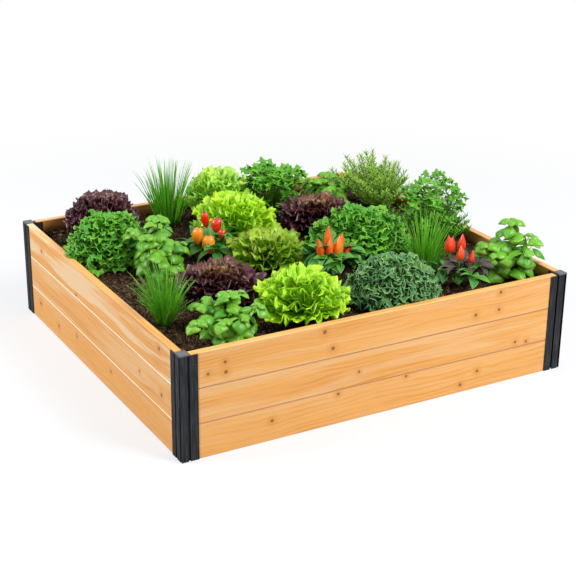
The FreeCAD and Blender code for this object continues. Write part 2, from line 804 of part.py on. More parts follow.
def flat_parsley(plant, stalks=8):
    """Thin stalks that fan out of a crown, each with a head of flat leaflets."""
    reach = size(f"{plant}_spread / 2")
    tall = size(f"{plant}_height")
    radius = size("leaflet_diameter / 2")
    herb = []
    for index in range(stalks):
        share = 0 if index == 0 else (0.62 if index % 2 else 1)
        angle = 2 * math.pi * index / (stalks - 1)
        outward = Vector(math.cos(angle), math.sin(angle), 0)
        tip = outward * ((reach - radius) * share) + UP * ((tall - radius) * (1 - 0.38 * share))
        foot = Vector(tip.x, tip.y, 0) * 0.2
        herb.append(stalk(foot, tip, size("stem_diameter / 4")))
        herb.append(bud(tip, radius, 0.7))
    new_plant(plant, above_soil(crown(0.3 * reach).multiFuse(herb), reach))


def pepper_fruit(hanging):
    """A blunt pepper on its stalk: the stalk's end is at the origin."""
    length, radius = size("pepper_length"), size("pepper_diameter / 2")
    stalk_end, stalk_radius = size("pepper_stalk_length"), size("pepper_stalk_diameter / 2")
    side = ((0.55, 0), (0.92, 0.10), (1, 0.30), (0.92, 0.60), (0.66, 0.84), (0.3, 1))
    outline = [(0, 0), (stalk_radius, 0), (stalk_radius, stalk_end)]
    outline += [(wide * radius, stalk_end + down * length) for wide, down in side]
    outline.append((0, stalk_end + length))
    fruit = turned(outline)
    if hanging:
        fruit.rotate(Vector(), Vector(1, 0, 0), 180)
    return fruit


def pepper(plant, hanging, branches=5, leaves=8):
    """A pepper plant: stem, branches with a fruit at each end, and leaves clear of the fruits."""
    reach = size(f"{plant}_spread / 2")
    tall = size(f"{plant}_height")
    branch_radius = size("stem_diameter / 4")
    out = reach - size("pepper_diameter / 2")
    blade = leaf_blade(0.95 * reach, 0.40 * reach, 30, 70)
    grown, fruits = [], []
    full = size("pepper_length + pepper_stalk_length + stalk_clearance") + branch_radius
    level = full + size("crown_height") if hanging else 0.94 * tall - full
    gap = branch_radius + size("stalk_clearance")
    for index in range(branches):
        angle = 360 * index / branches + 20
        outward = Vector(math.cos(math.radians(angle)), math.sin(math.radians(angle)), 0)
        start = Vector(0, 0, level)
        end = start + outward * (out + branch_radius)
        grown.append(skin([ring(start, outward, branch_radius, 8),
                           ring(end, outward, branch_radius, 8)]))
        fruit = pepper_fruit(hanging)
        fruit.translate(outward * out + Vector(0, 0, level - gap if hanging else level + gap))
        fruits.append(fruit)
    for index in range(leaves):
        share = index / (leaves - 1)
        azimuth = 20 + 360 / branches / 2 + 360 / branches * index + 6 * share
        height = tall * (0.54 + 0.28 * share) if hanging else level * (0.34 + 0.4 * share)
        grown.append(turned_leaf(blade, azimuth, height))
    new_plant(plant.replace("pepper", "pepper_plant"), stem(0.9 * tall).multiFuse(grown), plant)
    new_plant(plant.replace("pepper", "pepper_fruits"), Part.makeCompound(fruits), plant)


for plant in PLANTS:
    if plant.startswith("lettuce"):
        salad(plant)
    elif plant.startswith("basil"):
        basil(plant)
    elif plant.startswith("chives"):
        chives(plant)
    elif plant.startswith("rosemary"):
        rosemary(plant)
    elif plant.startswith("pepper"):
        pepper(plant, hanging=plant == "pepper_left")
    elif plant.startswith("parsley_flat"):
        flat_parsley(plant)
    else:
        curled(plant)


# --- checks and files ----------------------------------------------------------------------

document.recompute()
for item in document.Objects:
    failed = [state for state in item.State if state in ("Invalid", "Error")]
    if failed:
        raise RuntimeError(f"{item.Label} is {failed}")
for node in nodes:
    if node.Shape.isNull() or not node.Shape.isValid() or not node.Shape.Solids:
        raise RuntimeError(f"{node.Label} has no valid solid")
for node in nodes:
    node.Shape.exportStep(f"parts/{node.Label}.step")
    print(f"{node.Label}: {len(node.Shape.Solids)} solid, {node.Shape.Volume / 1000:.1f} cm3")
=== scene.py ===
import math
import random

import bpy
import numpy as np
from bpy.props import FloatProperty, FloatVectorProperty, IntProperty, PointerProperty
from mathutils import Matrix, Vector, noise


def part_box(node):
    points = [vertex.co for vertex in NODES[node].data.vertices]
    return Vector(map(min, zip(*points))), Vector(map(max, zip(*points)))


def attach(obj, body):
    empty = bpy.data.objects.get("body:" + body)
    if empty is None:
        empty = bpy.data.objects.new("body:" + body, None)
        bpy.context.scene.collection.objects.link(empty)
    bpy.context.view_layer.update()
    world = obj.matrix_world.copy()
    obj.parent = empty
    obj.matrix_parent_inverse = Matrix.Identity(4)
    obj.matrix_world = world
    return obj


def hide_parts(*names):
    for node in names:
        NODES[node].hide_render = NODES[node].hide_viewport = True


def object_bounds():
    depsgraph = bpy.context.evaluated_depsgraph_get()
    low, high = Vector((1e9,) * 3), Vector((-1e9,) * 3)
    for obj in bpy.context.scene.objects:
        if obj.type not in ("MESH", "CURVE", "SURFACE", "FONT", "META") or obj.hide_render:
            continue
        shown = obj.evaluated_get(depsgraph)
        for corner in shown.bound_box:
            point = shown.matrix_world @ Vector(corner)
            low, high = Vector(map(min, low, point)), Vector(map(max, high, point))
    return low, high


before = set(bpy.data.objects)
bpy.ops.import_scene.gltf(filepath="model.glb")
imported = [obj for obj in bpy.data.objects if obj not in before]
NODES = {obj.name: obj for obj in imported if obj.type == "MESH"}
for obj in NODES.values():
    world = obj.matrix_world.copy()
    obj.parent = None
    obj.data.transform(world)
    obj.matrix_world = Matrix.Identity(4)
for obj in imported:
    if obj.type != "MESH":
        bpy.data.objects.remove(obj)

# A raised garden bed. Its posts, caps and planks are the nodes of the frame, with new
# materials. The soil and the plants are modelled here, each in the place of its node.
# Lengths are in metres, in the frame's own axes: +X along the front, +Y to the back, +Z up.

bl_info = {
    "name": "Raised garden bed",
    "version": (1, 0, 0),
    "blender": (4, 5, 0),
    "location": "View3D > Sidebar > Garden bed",
    "description": "Dresses a raised garden bed with timber, soil, herbs, salads and peppers",
    "category": "Add Mesh",
}

FRAME_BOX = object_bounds()
SOIL_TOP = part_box("soil")[1][2]
PLANK_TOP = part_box("plank_front_upper")[1][2]
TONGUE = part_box("plank_front_lower")[1][2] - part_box("plank_front_middle")[0][2]
INNER_X = -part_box("plank_left_upper")[1][0]
INNER_Y = -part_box("plank_front_upper")[1][1]
# Each leaf is turned on from the last by this angle, as on a real plant.
GOLDEN_ANGLE = 2.39996


# --- sizes and colours that a user would change --------------------------------------------

def shade(name, description, red, green, blue):
    """A colour property."""
    return FloatVectorProperty(name=name, description=description, subtype="COLOR", size=3,
                               min=0.0, max=1.0, default=(red, green, blue))


def length(name, description, default):
    """A length property."""
    return FloatProperty(name=name, description=description, unit="LENGTH", min=0.0,
                         default=default)


class TimberLook(bpy.types.PropertyGroup):
    """Colours of the planks"""
    stain: shade("Stain", "Colour of the stained softwood", 0.96, 0.47, 0.125)
    late_wood: shade("Late wood", "Colour of the dark lines of the grain", 0.74, 0.28, 0.050)
    # the pale colour serves both the grain's pale streaks and the painted sheen
    pale: shade("Pale wood", "Colour of the pale bands of the grain", 1.0, 0.68, 0.38)
    knot: shade("Knot", "Colour of the knots", 0.17, 0.060, 0.018)
    joint: shade("Joint", "Colour of the bevels between the planks", 0.36, 0.125, 0.026)
    # a painted highlight: the light caught by the bevels on the left side
    joint_highlight: shade("Bright joint", "Colour of the planed bevels on the left", 1.0, 0.86, 0.72)
    ring_spacing: length("Ring spacing", "Distance between the lines of the grain", 0.011)


class MetalLook(bpy.types.PropertyGroup):
    """Colours of the posts and their caps"""
    post: shade("Post", "Colour of the posts' powder coat", 0.011, 0.013, 0.016)
    cap: shade("Cap", "Colour of the caps", 0.13, 0.13, 0.14)
    screw: shade("Screw", "Colour of the screws", 0.42, 0.42, 0.43)


class SoilLook(bpy.types.PropertyGroup):
    """The soil's surface"""
    dark: shade("Damp soil", "Colour of the soil in its hollows", 0.075, 0.036, 0.018)
    light: shade("Dry soil", "Colour of the dry crumbs", 0.56, 0.35, 0.20)
    lump_height: length("Lump height", "How far the surface rises and falls", 0.012)
    crumb_size: length("Crumb size", "Width of the largest loose crumbs", 0.017)
    crumbs: IntProperty(name="Crumbs", description="Number of loose crumbs", min=0, default=5400)


class LeafLook(bpy.types.PropertyGroup):
    """Colours of the leaves and fruits"""
    basil: shade("Basil", "Colour of the basil leaves", 0.11, 0.38, 0.010)
    basil_vein: shade("Basil veins", "Colour of the veins and rims of basil", 0.38, 0.70, 0.05)
    salad: shade("Green salad", "Colour of the green lettuces", 0.33, 0.64, 0.010)
    pale_salad: shade("Pale salad", "Colour of the pale lettuce", 0.34, 0.68, 0.05)
    red_salad: shade("Red salad", "Colour of the dark red lettuces", 0.048, 0.009, 0.014)
    bronze_salad: shade("Bronze salad", "Colour of the bronze lettuce", 0.28, 0.60, 0.018)
    bronze_tip: shade("Bronze tips", "Colour of the tips of the bronze lettuce", 0.20, 0.022, 0.016)
    parsley: shade("Parsley", "Colour of the parsleys", 0.085, 0.36, 0.010)
    kale: shade("Kale", "Colour of the kale", 0.055, 0.20, 0.034)
    chive: shade("Chive", "Colour of the chives", 0.13, 0.46, 0.020)
    rosemary: shade("Rosemary", "Colour of the rosemary", 0.34, 0.60, 0.07)
    pepper_leaf: shade("Pepper leaf", "Colour of the pepper leaves", 0.055, 0.28, 0.020)
    purple_leaf: shade("Purple leaf", "Colour of the purple pepper leaves", 0.065, 0.022, 0.042)
    stalk: shade("Stalk", "Colour of stems and stalks", 0.22, 0.48, 0.045)
    orange_fruit: shade("Orange fruit", "Colour of the orange peppers", 0.95, 0.30, 0.008)
    red_fruit: shade("Red fruit", "Colour of the red peppers", 0.78, 0.016, 0.004)


class StageLook(bpy.types.PropertyGroup):
    """The camera and the lamps"""
    lens: FloatProperty(name="Lens", description="Focal length in millimetres", default=84.85)
    key_power: FloatProperty(name="Key", description="Power of the main lamp", default=222.0)
    rim_power: FloatProperty(name="Rim", description="Power of the lamp behind", default=128.0)
    sky: FloatProperty(name="Sky", description="Strength of the light all round", default=0.46)


# --- node helpers --------------------------------------------------------------------------

def add_node(tree, kind, inputs=None, **settings):
    """A node with its settings; each input is a value or another node's output."""
    made = tree.nodes.new(kind)
    for name, value in settings.items():
        setattr(made, name, value)
    for socket, value in (inputs or {}).items():
        if isinstance(value, bpy.types.NodeSocket):
            tree.links.new(value, made.inputs[socket])
        else:
            made.inputs[socket].default_value = value
    return made


def math_node(tree, operation, first, second=0.0, third=0.0, clamp=False):
    """The result of a Math node."""
    made = add_node(tree, "ShaderNodeMath", {0: first, 1: second, 2: third},
                    operation=operation, use_clamp=clamp)
    return made.outputs[0]


def mix_colour(tree, share, first, second, blend="MIX"):
    """The result of a Mix node for two colours."""
    made = add_node(tree, "ShaderNodeMix", {0: share, 6: first, 7: second},
                    data_type="RGBA", blend_type=blend)
    return made.outputs[2]


def between(tree, value, low, high):
    """A value eased from 0 at low to 1 at high."""
    made = add_node(tree, "ShaderNodeMapRange", {"Value": value, "From Min": low,
                    "From Max": high}, interpolation_type="SMOOTHSTEP")
    return made.outputs["Result"]


def noise_value(tree, vector, scale, detail=3.0, roughness=0.55):
    """A noise value round 0.5."""
    made = add_node(tree, "ShaderNodeTexNoise", {"Vector": vector, "Scale": scale,
                    "Detail": detail, "Roughness": roughness})
    return made.outputs["Fac"]


def new_group(name, inputs, outputs):
    """A shader node group, its tree and its input sockets by name."""
    tree = bpy.data.node_groups.new(name, "ShaderNodeTree")
    for kinds, way in ((inputs, "INPUT"), (outputs, "OUTPUT")):
        for socket, kind in kinds.items():
            tree.interface.new_socket(socket, in_out=way, socket_type="NodeSocket" + kind)
    given = tree.nodes.new("NodeGroupInput")
    return tree, given.outputs


def group_result(tree, results):
    """Links the results of a group to its output."""
    out = tree.nodes.new("NodeGroupOutput")
    for name, socket in results.items():
        tree.links.new(socket, out.inputs[name])


def new_material(name, roughness=0.5, **constants):
    """A material with a Principled shader: the material, its tree and the shader."""
    material = bpy.data.materials.new(name)
    material.use_nodes = True
    tree = material.node_tree
    shader = tree.nodes["Principled BSDF"]
    shader.inputs["Roughness"].default_value = roughness
    for socket, value in constants.items():
        shader.inputs[socket.replace("_", " ")].default_value = value
    return material, tree, shader


def use_group(tree, group, inputs):
    """A group placed in a material with its own values."""
    made = tree.nodes.new("ShaderNodeGroup")
    made.node_tree = group
    for socket, value in inputs.items():
        if isinstance(value, bpy.types.NodeSocket):
            tree.links.new(value, made.inputs[socket])
        else:
            made.inputs[socket].default_value = value
    return made.outputs


def bump(tree, shader, height, distance, strength=1.0):
    """Feeds a height to the shader's normal."""
    made = add_node(tree, "ShaderNodeBump", {"Height": height, "Distance": distance,
                    "Strength": strength})
    tree.links.new(made.outputs["Normal"], shader.inputs["Normal"])


def rgba(colour):
    """A property's colour as four numbers."""
    return (*colour, 1.0)


def look():
    """The scene's look properties."""
    return bpy.context.scene


def dress_node(name, material):
    """Gives a CAD node a new material."""
    node = NODES[name]
    node.data.materials.clear()
    node.data.materials.append(material)


# --- timber --------------------------------------------------------------------------------

# Knots of the two sides that show most: how far along the side from its left end, how high,
# and the knot's radius.
KNOTS = {
    "front": (
        (0.078, 0.232, 0.0045), (0.126, 0.255, 0.0050), (0.128, 0.227, 0.0058),
        (0.416, 0.277, 0.0065), (0.442, 0.225, 0.0060), (0.904, 0.228, 0.0055),
        (0.984, 0.229, 0.0050), (0.986, 0.281, 0.0055), (0.525, 0.139, 0.0042),
        (0.678, 0.092, 0.0042), (0.461, 0.088, 0.0050), (0.921, 0.053, 0.0052),
        (0.864, 0.023, 0.0055), (0.261, 0.057, 0.0055), (1.050, 0.116, 0.0048),
        (1.090, 0.109, 0.0048),
    ),
    "left": (
        (0.160, 0.248, 0.0060), (0.124, 0.062, 0.0065), (0.281, 0.045, 0.0060),
        (0.435, 0.071, 0.0050), (0.695, 0.064, 0.0045), (0.445, 0.205, 0.0045),
        (1.033, 0.268, 0.0060), (1.041, 0.141, 0.0060), (0.900, 0.150, 0.0040),
    ),
    "right": ((0.210, 0.240, 0.0055), (0.520, 0.150, 0.0050), (0.830, 0.060, 0.0060),
              (0.960, 0.262, 0.0045)),
    "back": ((0.180, 0.150, 0.0055), (0.470, 0.255, 0.0060), (0.760, 0.060, 0.0050),
             (1.010, 0.230, 0.0045)),
}
# How strongly the pale wash of painted sheen shows on the front's and the left side's planks,
# strongest on the left side's upper plank; the others are alike.
SHEEN_PALENESS = {("front", "upper"): 0.26, ("front", "middle"): 0.34, ("front", "lower"): 0.14,
            ("left", "upper"): 1.3, ("left", "middle"): 0.45, ("left", "lower"): 0.15,
            ("right", "upper"): 0.5, ("right", "middle"): 0.5, ("right", "lower"): 0.4,
            ("back", "upper"): 0.5, ("back", "middle"): 0.5, ("back", "lower"): 0.4}
KNOT_HEART = (0.44, 0.22, 0.09, 1.0)
# painted shade on the faces of the planks inside the bed
INSIDE_SHADE = (0.30, 0.105, 0.024, 1.0)
SOIL_SPLASH = (0.05, 0.025, 0.012, 1.0)
# The line at a joint: where it starts to darken, and where it is darkest.
JOINT_WIDTH, JOINT_CORE = 0.0026, 0.0012
SIDE_DIRECTIONS = {"front": (1, 0), "right": (0, 1), "back": (-1, 0), "left": (0, -1)}


def timber_group():
    """Sawn softwood: rings that run along the plank, streaks, and pale patches of painted sheen."""
    tree, given = new_group("softwood grain", {
        "Vector": "Vector", "Bend": "Float", "Ring Spacing": "Float", "Stain": "Color",
        "Late Wood": "Color", "Pale": "Color", "Sheen Paleness": "Float"},
        {"Color": "Color", "Height": "Float", "Roughness": "Float"})
    split = add_node(tree, "ShaderNodeSeparateXYZ", {0: given["Vector"]})
    along, deep, up = split.outputs
    slow = add_node(tree, "ShaderNodeCombineXYZ", {
        0: math_node(tree, "MULTIPLY", along, 1.6), 1: math_node(tree, "MULTIPLY", deep, 5.0),
        2: math_node(tree, "MULTIPLY", up, 7.0)})
    sway = noise_value(tree, slow.outputs[0], 1.3, 2.0)
    bent = math_node(tree, "MULTIPLY_ADD", sway, 0.065, given["Bend"])
    ring = math_node(tree, "ADD", up, bent)
    ring = math_node(tree, "MULTIPLY_ADD", deep, 0.6, ring)
    phase = math_node(tree, "DIVIDE", ring, given["Ring Spacing"])
    saw = math_node(tree, "FRACT", phase)
    late = between(tree, saw, 0.35, 0.97)
    fade = between(tree, saw, 1.0, 0.97)
    line = math_node(tree, "MULTIPLY", late, fade)
    fine = add_node(tree, "ShaderNodeCombineXYZ", {
        0: math_node(tree, "MULTIPLY", along, 9.0), 1: math_node(tree, "MULTIPLY", deep, 300.0),
        2: math_node(tree, "MULTIPLY", ring, 420.0)})
    streak = noise_value(tree, fine.outputs[0], 1.0, 4.0, 0.6)
    patch = noise_value(tree, slow.outputs[0], 2.4, 3.0)
    band = noise_value(tree, add_node(tree, "ShaderNodeCombineXYZ", {
        0: math_node(tree, "MULTIPLY", along, 0.8), 1: deep,
        2: math_node(tree, "MULTIPLY", ring, 34.0)}).outputs[0], 1.0, 2.0)
    strength = math_node(tree, "MULTIPLY", between(tree, patch, 0.32, 0.70), 0.55)
    share = math_node(tree, "MULTIPLY", line, strength)
    share = math_node(tree, "MULTIPLY_ADD", between(tree, streak, 0.46, 0.76), 0.38, share)
    share = math_node(tree, "MULTIPLY_ADD", between(tree, band, 0.46, 0.74), 0.26, share, True)
    colour = mix_colour(tree, share, given["Stain"], given["Late Wood"])
    # a slow pale wash, scaled by the plank's paleness: painted sheen
    sheen_wash = noise_value(tree, add_node(tree, "ShaderNodeCombineXYZ", {
        0: math_node(tree, "MULTIPLY", along, 1.1), 1: deep,
        2: math_node(tree, "MULTIPLY", ring, 16.0)}).outputs[0], 1.7, 3.0, 0.5)
    pale = math_node(tree, "MULTIPLY", between(tree, sheen_wash, 0.44, 0.60), given["Sheen Paleness"])
    pale = math_node(tree, "MULTIPLY_ADD", between(tree, streak, 0.50, 0.30), 0.25, pale, True)
    colour = mix_colour(tree, pale, colour, given["Pale"])
    height = math_node(tree, "MULTIPLY_ADD", streak, -0.6, math_node(tree, "MULTIPLY", line, -0.4))
    rough = math_node(tree, "MULTIPLY_ADD", streak, 0.16, 0.34)
    group_result(tree, {"Color": colour, "Height": height, "Roughness": rough})
    return tree


def knot_group():
    """One knot: how much it bends the grain, and where its heart and its ring are."""
    tree, given = new_group("knot", {"Along": "Float", "Up": "Float", "Knot Along": "Float",
                                     "Knot Up": "Float", "Radius": "Float", "Bend": "Float",
                                     "Mask": "Float", "Halo": "Float"},
                            {"Bend": "Float", "Mask": "Float", "Halo": "Float"})
    east = math_node(tree, "SUBTRACT", given["Along"], given["Knot Along"])
    north = math_node(tree, "SUBTRACT", given["Up"], given["Knot Up"])
    wide = math_node(tree, "MULTIPLY", math_node(tree, "MULTIPLY", east, east), 0.20)
    square = math_node(tree, "MULTIPLY_ADD", north, north, wide)
    size = math_node(tree, "MULTIPLY", given["Radius"], given["Radius"])
    share = math_node(tree, "DIVIDE", square, math_node(tree, "MULTIPLY", size, 7.0))
    pull = math_node(tree, "POWER", 2.718, math_node(tree, "MULTIPLY", share, -1.0))
    side = math_node(tree, "SIGN", north)
    push = math_node(tree, "MULTIPLY", math_node(tree, "MULTIPLY", pull, side), given["Radius"])
    bend = math_node(tree, "MULTIPLY_ADD", push, -1.1, given["Bend"])
    round_square = math_node(tree, "MULTIPLY_ADD", east, east,
                             math_node(tree, "MULTIPLY", north, north))
    away = math_node(tree, "DIVIDE", math_node(tree, "SQRT", round_square), given["Radius"])
    mask = math_node(tree, "MAXIMUM", given["Mask"], between(tree, away, 1.25, 0.40))
    halo = math_node(tree, "MAXIMUM", given["Halo"], between(tree, away, 4.5, 1.0))
    group_result(tree, {"Bend": bend, "Mask": mask, "Halo": halo})
    return tree


def plank_material(side, course, grain, knot, timber):
    """The material of one plank: its own stretch of grain and the knots that lie on it."""
    material, tree, shader = new_material(f"{side} {course} plank timber", Coat_Weight=0.10,
                                          Coat_Roughness=0.35)
    low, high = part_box(f"plank_{side}_{course}")
    cos, sin = SIDE_DIRECTIONS[side]
    place = add_node(tree, "ShaderNodeTexCoord").outputs["Object"]
    split = add_node(tree, "ShaderNodeSeparateXYZ", {0: place}).outputs
    half = (FRAME_BOX[1][0] if cos else FRAME_BOX[1][1])
    along = math_node(tree, "MULTIPLY_ADD", split[0 if cos else 1], float(cos + sin), half)
    deep = split[1 if cos else 0]
    up = split[2]
    bend = mask = halo = 0.0
    for knot_along, knot_up, radius in KNOTS[side]:
        if low[2] - 0.02 < knot_up < high[2] + 0.02:
            made = use_group(tree, knot, {"Along": along, "Up": up, "Knot Along": knot_along,
                                          "Knot Up": knot_up, "Radius": radius, "Bend": bend,
                                          "Mask": mask, "Halo": halo})
            bend, mask, halo = made["Bend"], made["Mask"], made["Halo"]
    seed = random.Random(side + course)
    vector = add_node(tree, "ShaderNodeCombineXYZ", {
        0: math_node(tree, "ADD", along, seed.uniform(3, 60)), 1: deep,
        2: math_node(tree, "ADD", up, seed.uniform(0, 40))}).outputs[0]
    wood = use_group(tree, grain, {"Vector": vector, "Bend": bend,
                                   "Ring Spacing": timber.ring_spacing * seed.uniform(0.8, 1.5),
                                   "Stain": rgba(timber.stain),
                                   "Late Wood": rgba(timber.late_wood),
                                   "Pale": rgba(timber.pale),
                                   "Sheen Paleness": SHEEN_PALENESS[side, course]})
    colour = wood["Color"]
    if mask:
        colour = mix_colour(tree, math_node(tree, "MULTIPLY", halo, 0.42), colour,
                            rgba(timber.late_wood))
        colour = mix_colour(tree, math_node(tree, "MULTIPLY", mask, 0.92), colour,
                            rgba(timber.knot))
        colour = mix_colour(tree, math_node(tree, "MULTIPLY", between(tree, mask, 0.97, 1.0), 0.5),
                            colour, KNOT_HEART)
    # the joints between the planks show as a fine dark line; on the left side the line is a painted
    # highlight where the bevels catch the light
    line = timber.joint_highlight if side == "left" else timber.joint
    edges = {"lower": ((high[2] - TONGUE, -1),), "upper": ((low[2], 1),),
             "middle": ((low[2], 1), (high[2] - TONGUE, -1))}[course]
    for edge, inwards in edges:
        bevel = between(tree, up, edge + inwards * JOINT_WIDTH, edge + inwards * JOINT_CORE)
        colour = mix_colour(tree, math_node(tree, "MULTIPLY", bevel, 0.85), colour, rgba(line))
    # the face towards the soil gets painted shade, and is splashed near the soil
    outward = {"front": -1.0, "right": 1.0, "back": 1.0, "left": -1.0}[side]
    wall = INNER_Y if cos else INNER_X
    from_middle = math_node(tree, "MULTIPLY", deep, outward)
    inside = between(tree, from_middle, wall + 0.004, wall + 0.0005)
    colour = mix_colour(tree, math_node(tree, "MULTIPLY", inside, 0.55), colour,
                        INSIDE_SHADE)
    near_soil = between(tree, up, SOIL_TOP + 0.030, SOIL_TOP - 0.004)
    splash = between(tree, noise_value(tree, place, 160.0, 4.0), 0.66, 0.50)
    dirt = math_node(tree, "MULTIPLY", math_node(tree, "MULTIPLY", near_soil, inside), splash)
    colour = mix_colour(tree, dirt, colour, SOIL_SPLASH)
    tree.links.new(colour, shader.inputs["Base Color"])
    tree.links.new(wood["Roughness"], shader.inputs["Roughness"])
    bump(tree, shader, wood["Height"], 0.0006, 0.55)
    return material


class GARDEN_OT_planks(bpy.types.Operator):
    """Give the planks their stained softwood"""
    bl_idname = "garden_bed.planks"
    bl_label = "Planks"

    def execute(self, context):
        grain, knot = timber_group(), knot_group()
        for side in SIDE_DIRECTIONS:
            for course in ("lower", "middle", "upper"):
                material = plank_material(side, course, grain, knot, look().garden_timber)
                dress_node(f"plank_{side}_{course}", material)
        return {"FINISHED"}


# --- metal ---------------------------------------------------------------------------------

COAT_STREAK = (0.30, 0.32, 0.35, 1.0)
BARE_METAL = (0.40, 0.41, 0.42, 1.0)


def coat_group():
    """A powder coat: a fine grain, soft streaks down the post and rubbed spots."""
    tree, given = new_group("powder coat", {"Vector": "Vector", "Paint": "Color",
                                            "Streak": "Float", "Worn": "Float"},
                            {"Color": "Color", "Height": "Float", "Roughness": "Float"})
    split = add_node(tree, "ShaderNodeSeparateXYZ", {0: given["Vector"]}).outputs
    tall = add_node(tree, "ShaderNodeCombineXYZ", {
        0: math_node(tree, "MULTIPLY", split[0], 260.0),
        1: math_node(tree, "MULTIPLY", split[1], 260.0),
        2: math_node(tree, "MULTIPLY", split[2], 16.0)}).outputs[0]
    streak = noise_value(tree, tall, 1.0, 4.0, 0.62)
    grain = noise_value(tree, given["Vector"], 2600.0, 2.0)
    spots = noise_value(tree, given["Vector"], 420.0, 4.0, 0.7)
    lift = math_node(tree, "MULTIPLY", between(tree, streak, 0.42, 0.74), given["Streak"])
    colour = mix_colour(tree, lift, given["Paint"], COAT_STREAK)
    worn = math_node(tree, "MULTIPLY", between(tree, spots, 0.60, 0.74), given["Worn"])
    colour = mix_colour(tree, worn, colour, BARE_METAL)
    rough = math_node(tree, "MULTIPLY_ADD", grain, 0.20, 0.42)
    group_result(tree, {"Color": colour, "Height": grain, "Roughness": rough})
    return tree


def metal_material(name, coat, paint, streak, worn, metallic=0.0):
    """Coated or bare metal."""
    material, tree, shader = new_material(name, Metallic=metallic, Specular_IOR_Level=0.35)
    place = add_node(tree, "ShaderNodeTexCoord").outputs["Object"]
    made = use_group(tree, coat, {"Vector": place, "Paint": rgba(paint), "Streak": streak,
                                  "Worn": worn})
    tree.links.new(made["Color"], shader.inputs["Base Color"])
    tree.links.new(made["Roughness"], shader.inputs["Roughness"])
    bump(tree, shader, made["Height"], 0.0002, 0.35)
    return material


class GARDEN_OT_metal(bpy.types.Operator):
    """Give the posts, caps and screws their finishes"""
    bl_idname = "garden_bed.metal"
    bl_label = "Posts, caps and screws"

    def execute(self, context):
        metal, coat = look().garden_metal, coat_group()
        post = metal_material("post powder coat", coat, metal.post, 0.16, 0.05)
        cap = metal_material("cap powder coat", coat, metal.cap, 0.10, 0.45)
        screw = metal_material("screw steel", coat, metal.screw, 0.10, 0.30, 1.0)
        for name in NODES:
            if name.startswith("corner_post"):
                dress_node(name, post)
            elif name.startswith("corner_cap"):
                dress_node(name, cap)
        dress_node("plank_screws", screw)
        return {"FINISHED"}


# --- mesh helpers --------------------------------------------------------------------------

def deselect():
    """Nothing is selected or active afterwards."""
    bpy.ops.object.select_all(action="DESELECT")
    bpy.context.view_layer.objects.active = None


def soften(piece):
    """Smooth shading all over a mesh."""
    piece.data.polygons.foreach_set("use_smooth", [True] * len(piece.data.polygons))


class Master:
    """A shape that is copied many times: its points, faces and UV map."""

    def __init__(self, piece):
        mesh = piece.data
        self.points = np.empty(len(mesh.vertices) * 3)
        mesh.vertices.foreach_get("co", self.points)
        self.points = self.points.reshape(-1, 3)
        self.corners = np.empty(len(mesh.loops), dtype=np.int32)
        mesh.loops.foreach_get("vertex_index", self.corners)
        self.starts = np.empty(len(mesh.polygons), dtype=np.int32)
        mesh.polygons.foreach_get("loop_start", self.starts)
        self.uv = np.zeros(len(mesh.loops) * 2)
        if mesh.uv_layers:
            mesh.uv_layers[0].data.foreach_get("uv", self.uv)
        bpy.data.objects.remove(piece)


def leaf_master(form, along=10, across=8, thickness=0.0005):
    """A leaf: a grid whose points the form sends to their places, given a thickness."""
    deselect()
    bpy.ops.mesh.primitive_grid_add(x_subdivisions=along, y_subdivisions=across, size=1.0,
                                    location=(0, 0, 0))
    leaf = bpy.context.object
    flat = np.empty(len(leaf.data.vertices) * 3)
    leaf.data.vertices.foreach_get("co", flat)
    flat = flat.reshape(-1, 3)
    placed = form(flat[:, 0] + 0.5, flat[:, 1] * 2.0)
    leaf.data.vertices.foreach_set("co", np.stack(placed, axis=1).ravel())
    leaf.data.update()
    wall = leaf.modifiers.new("thickness", "SOLIDIFY")
    wall.thickness = thickness
    wall.offset = 0.0
    bpy.ops.object.modifier_apply(modifier=wall.name)
    return Master(leaf)


def rod_points(path, radii, sides):
    """Rings of points round a path of points, square to it."""
    path = np.asarray(path, dtype=float)
    heading = np.gradient(path, axis=0)
    heading /= np.linalg.norm(heading, axis=1)[:, None]
    start = np.array((1.0, 0.3, 0.1)) if abs(heading[0][2]) > 0.8 else np.array((0.1, 0.2, 1.0))
    across = np.cross(heading, start)
    across /= np.linalg.norm(across, axis=1)[:, None]
    over = np.cross(heading, across)
    angles = np.arange(sides) * 2 * math.pi / sides
    spokes = (across[:, None, :] * np.cos(angles)[None, :, None]
              + over[:, None, :] * np.sin(angles)[None, :, None])
    return path[:, None, :] + spokes * np.asarray(radii)[:, None, None]


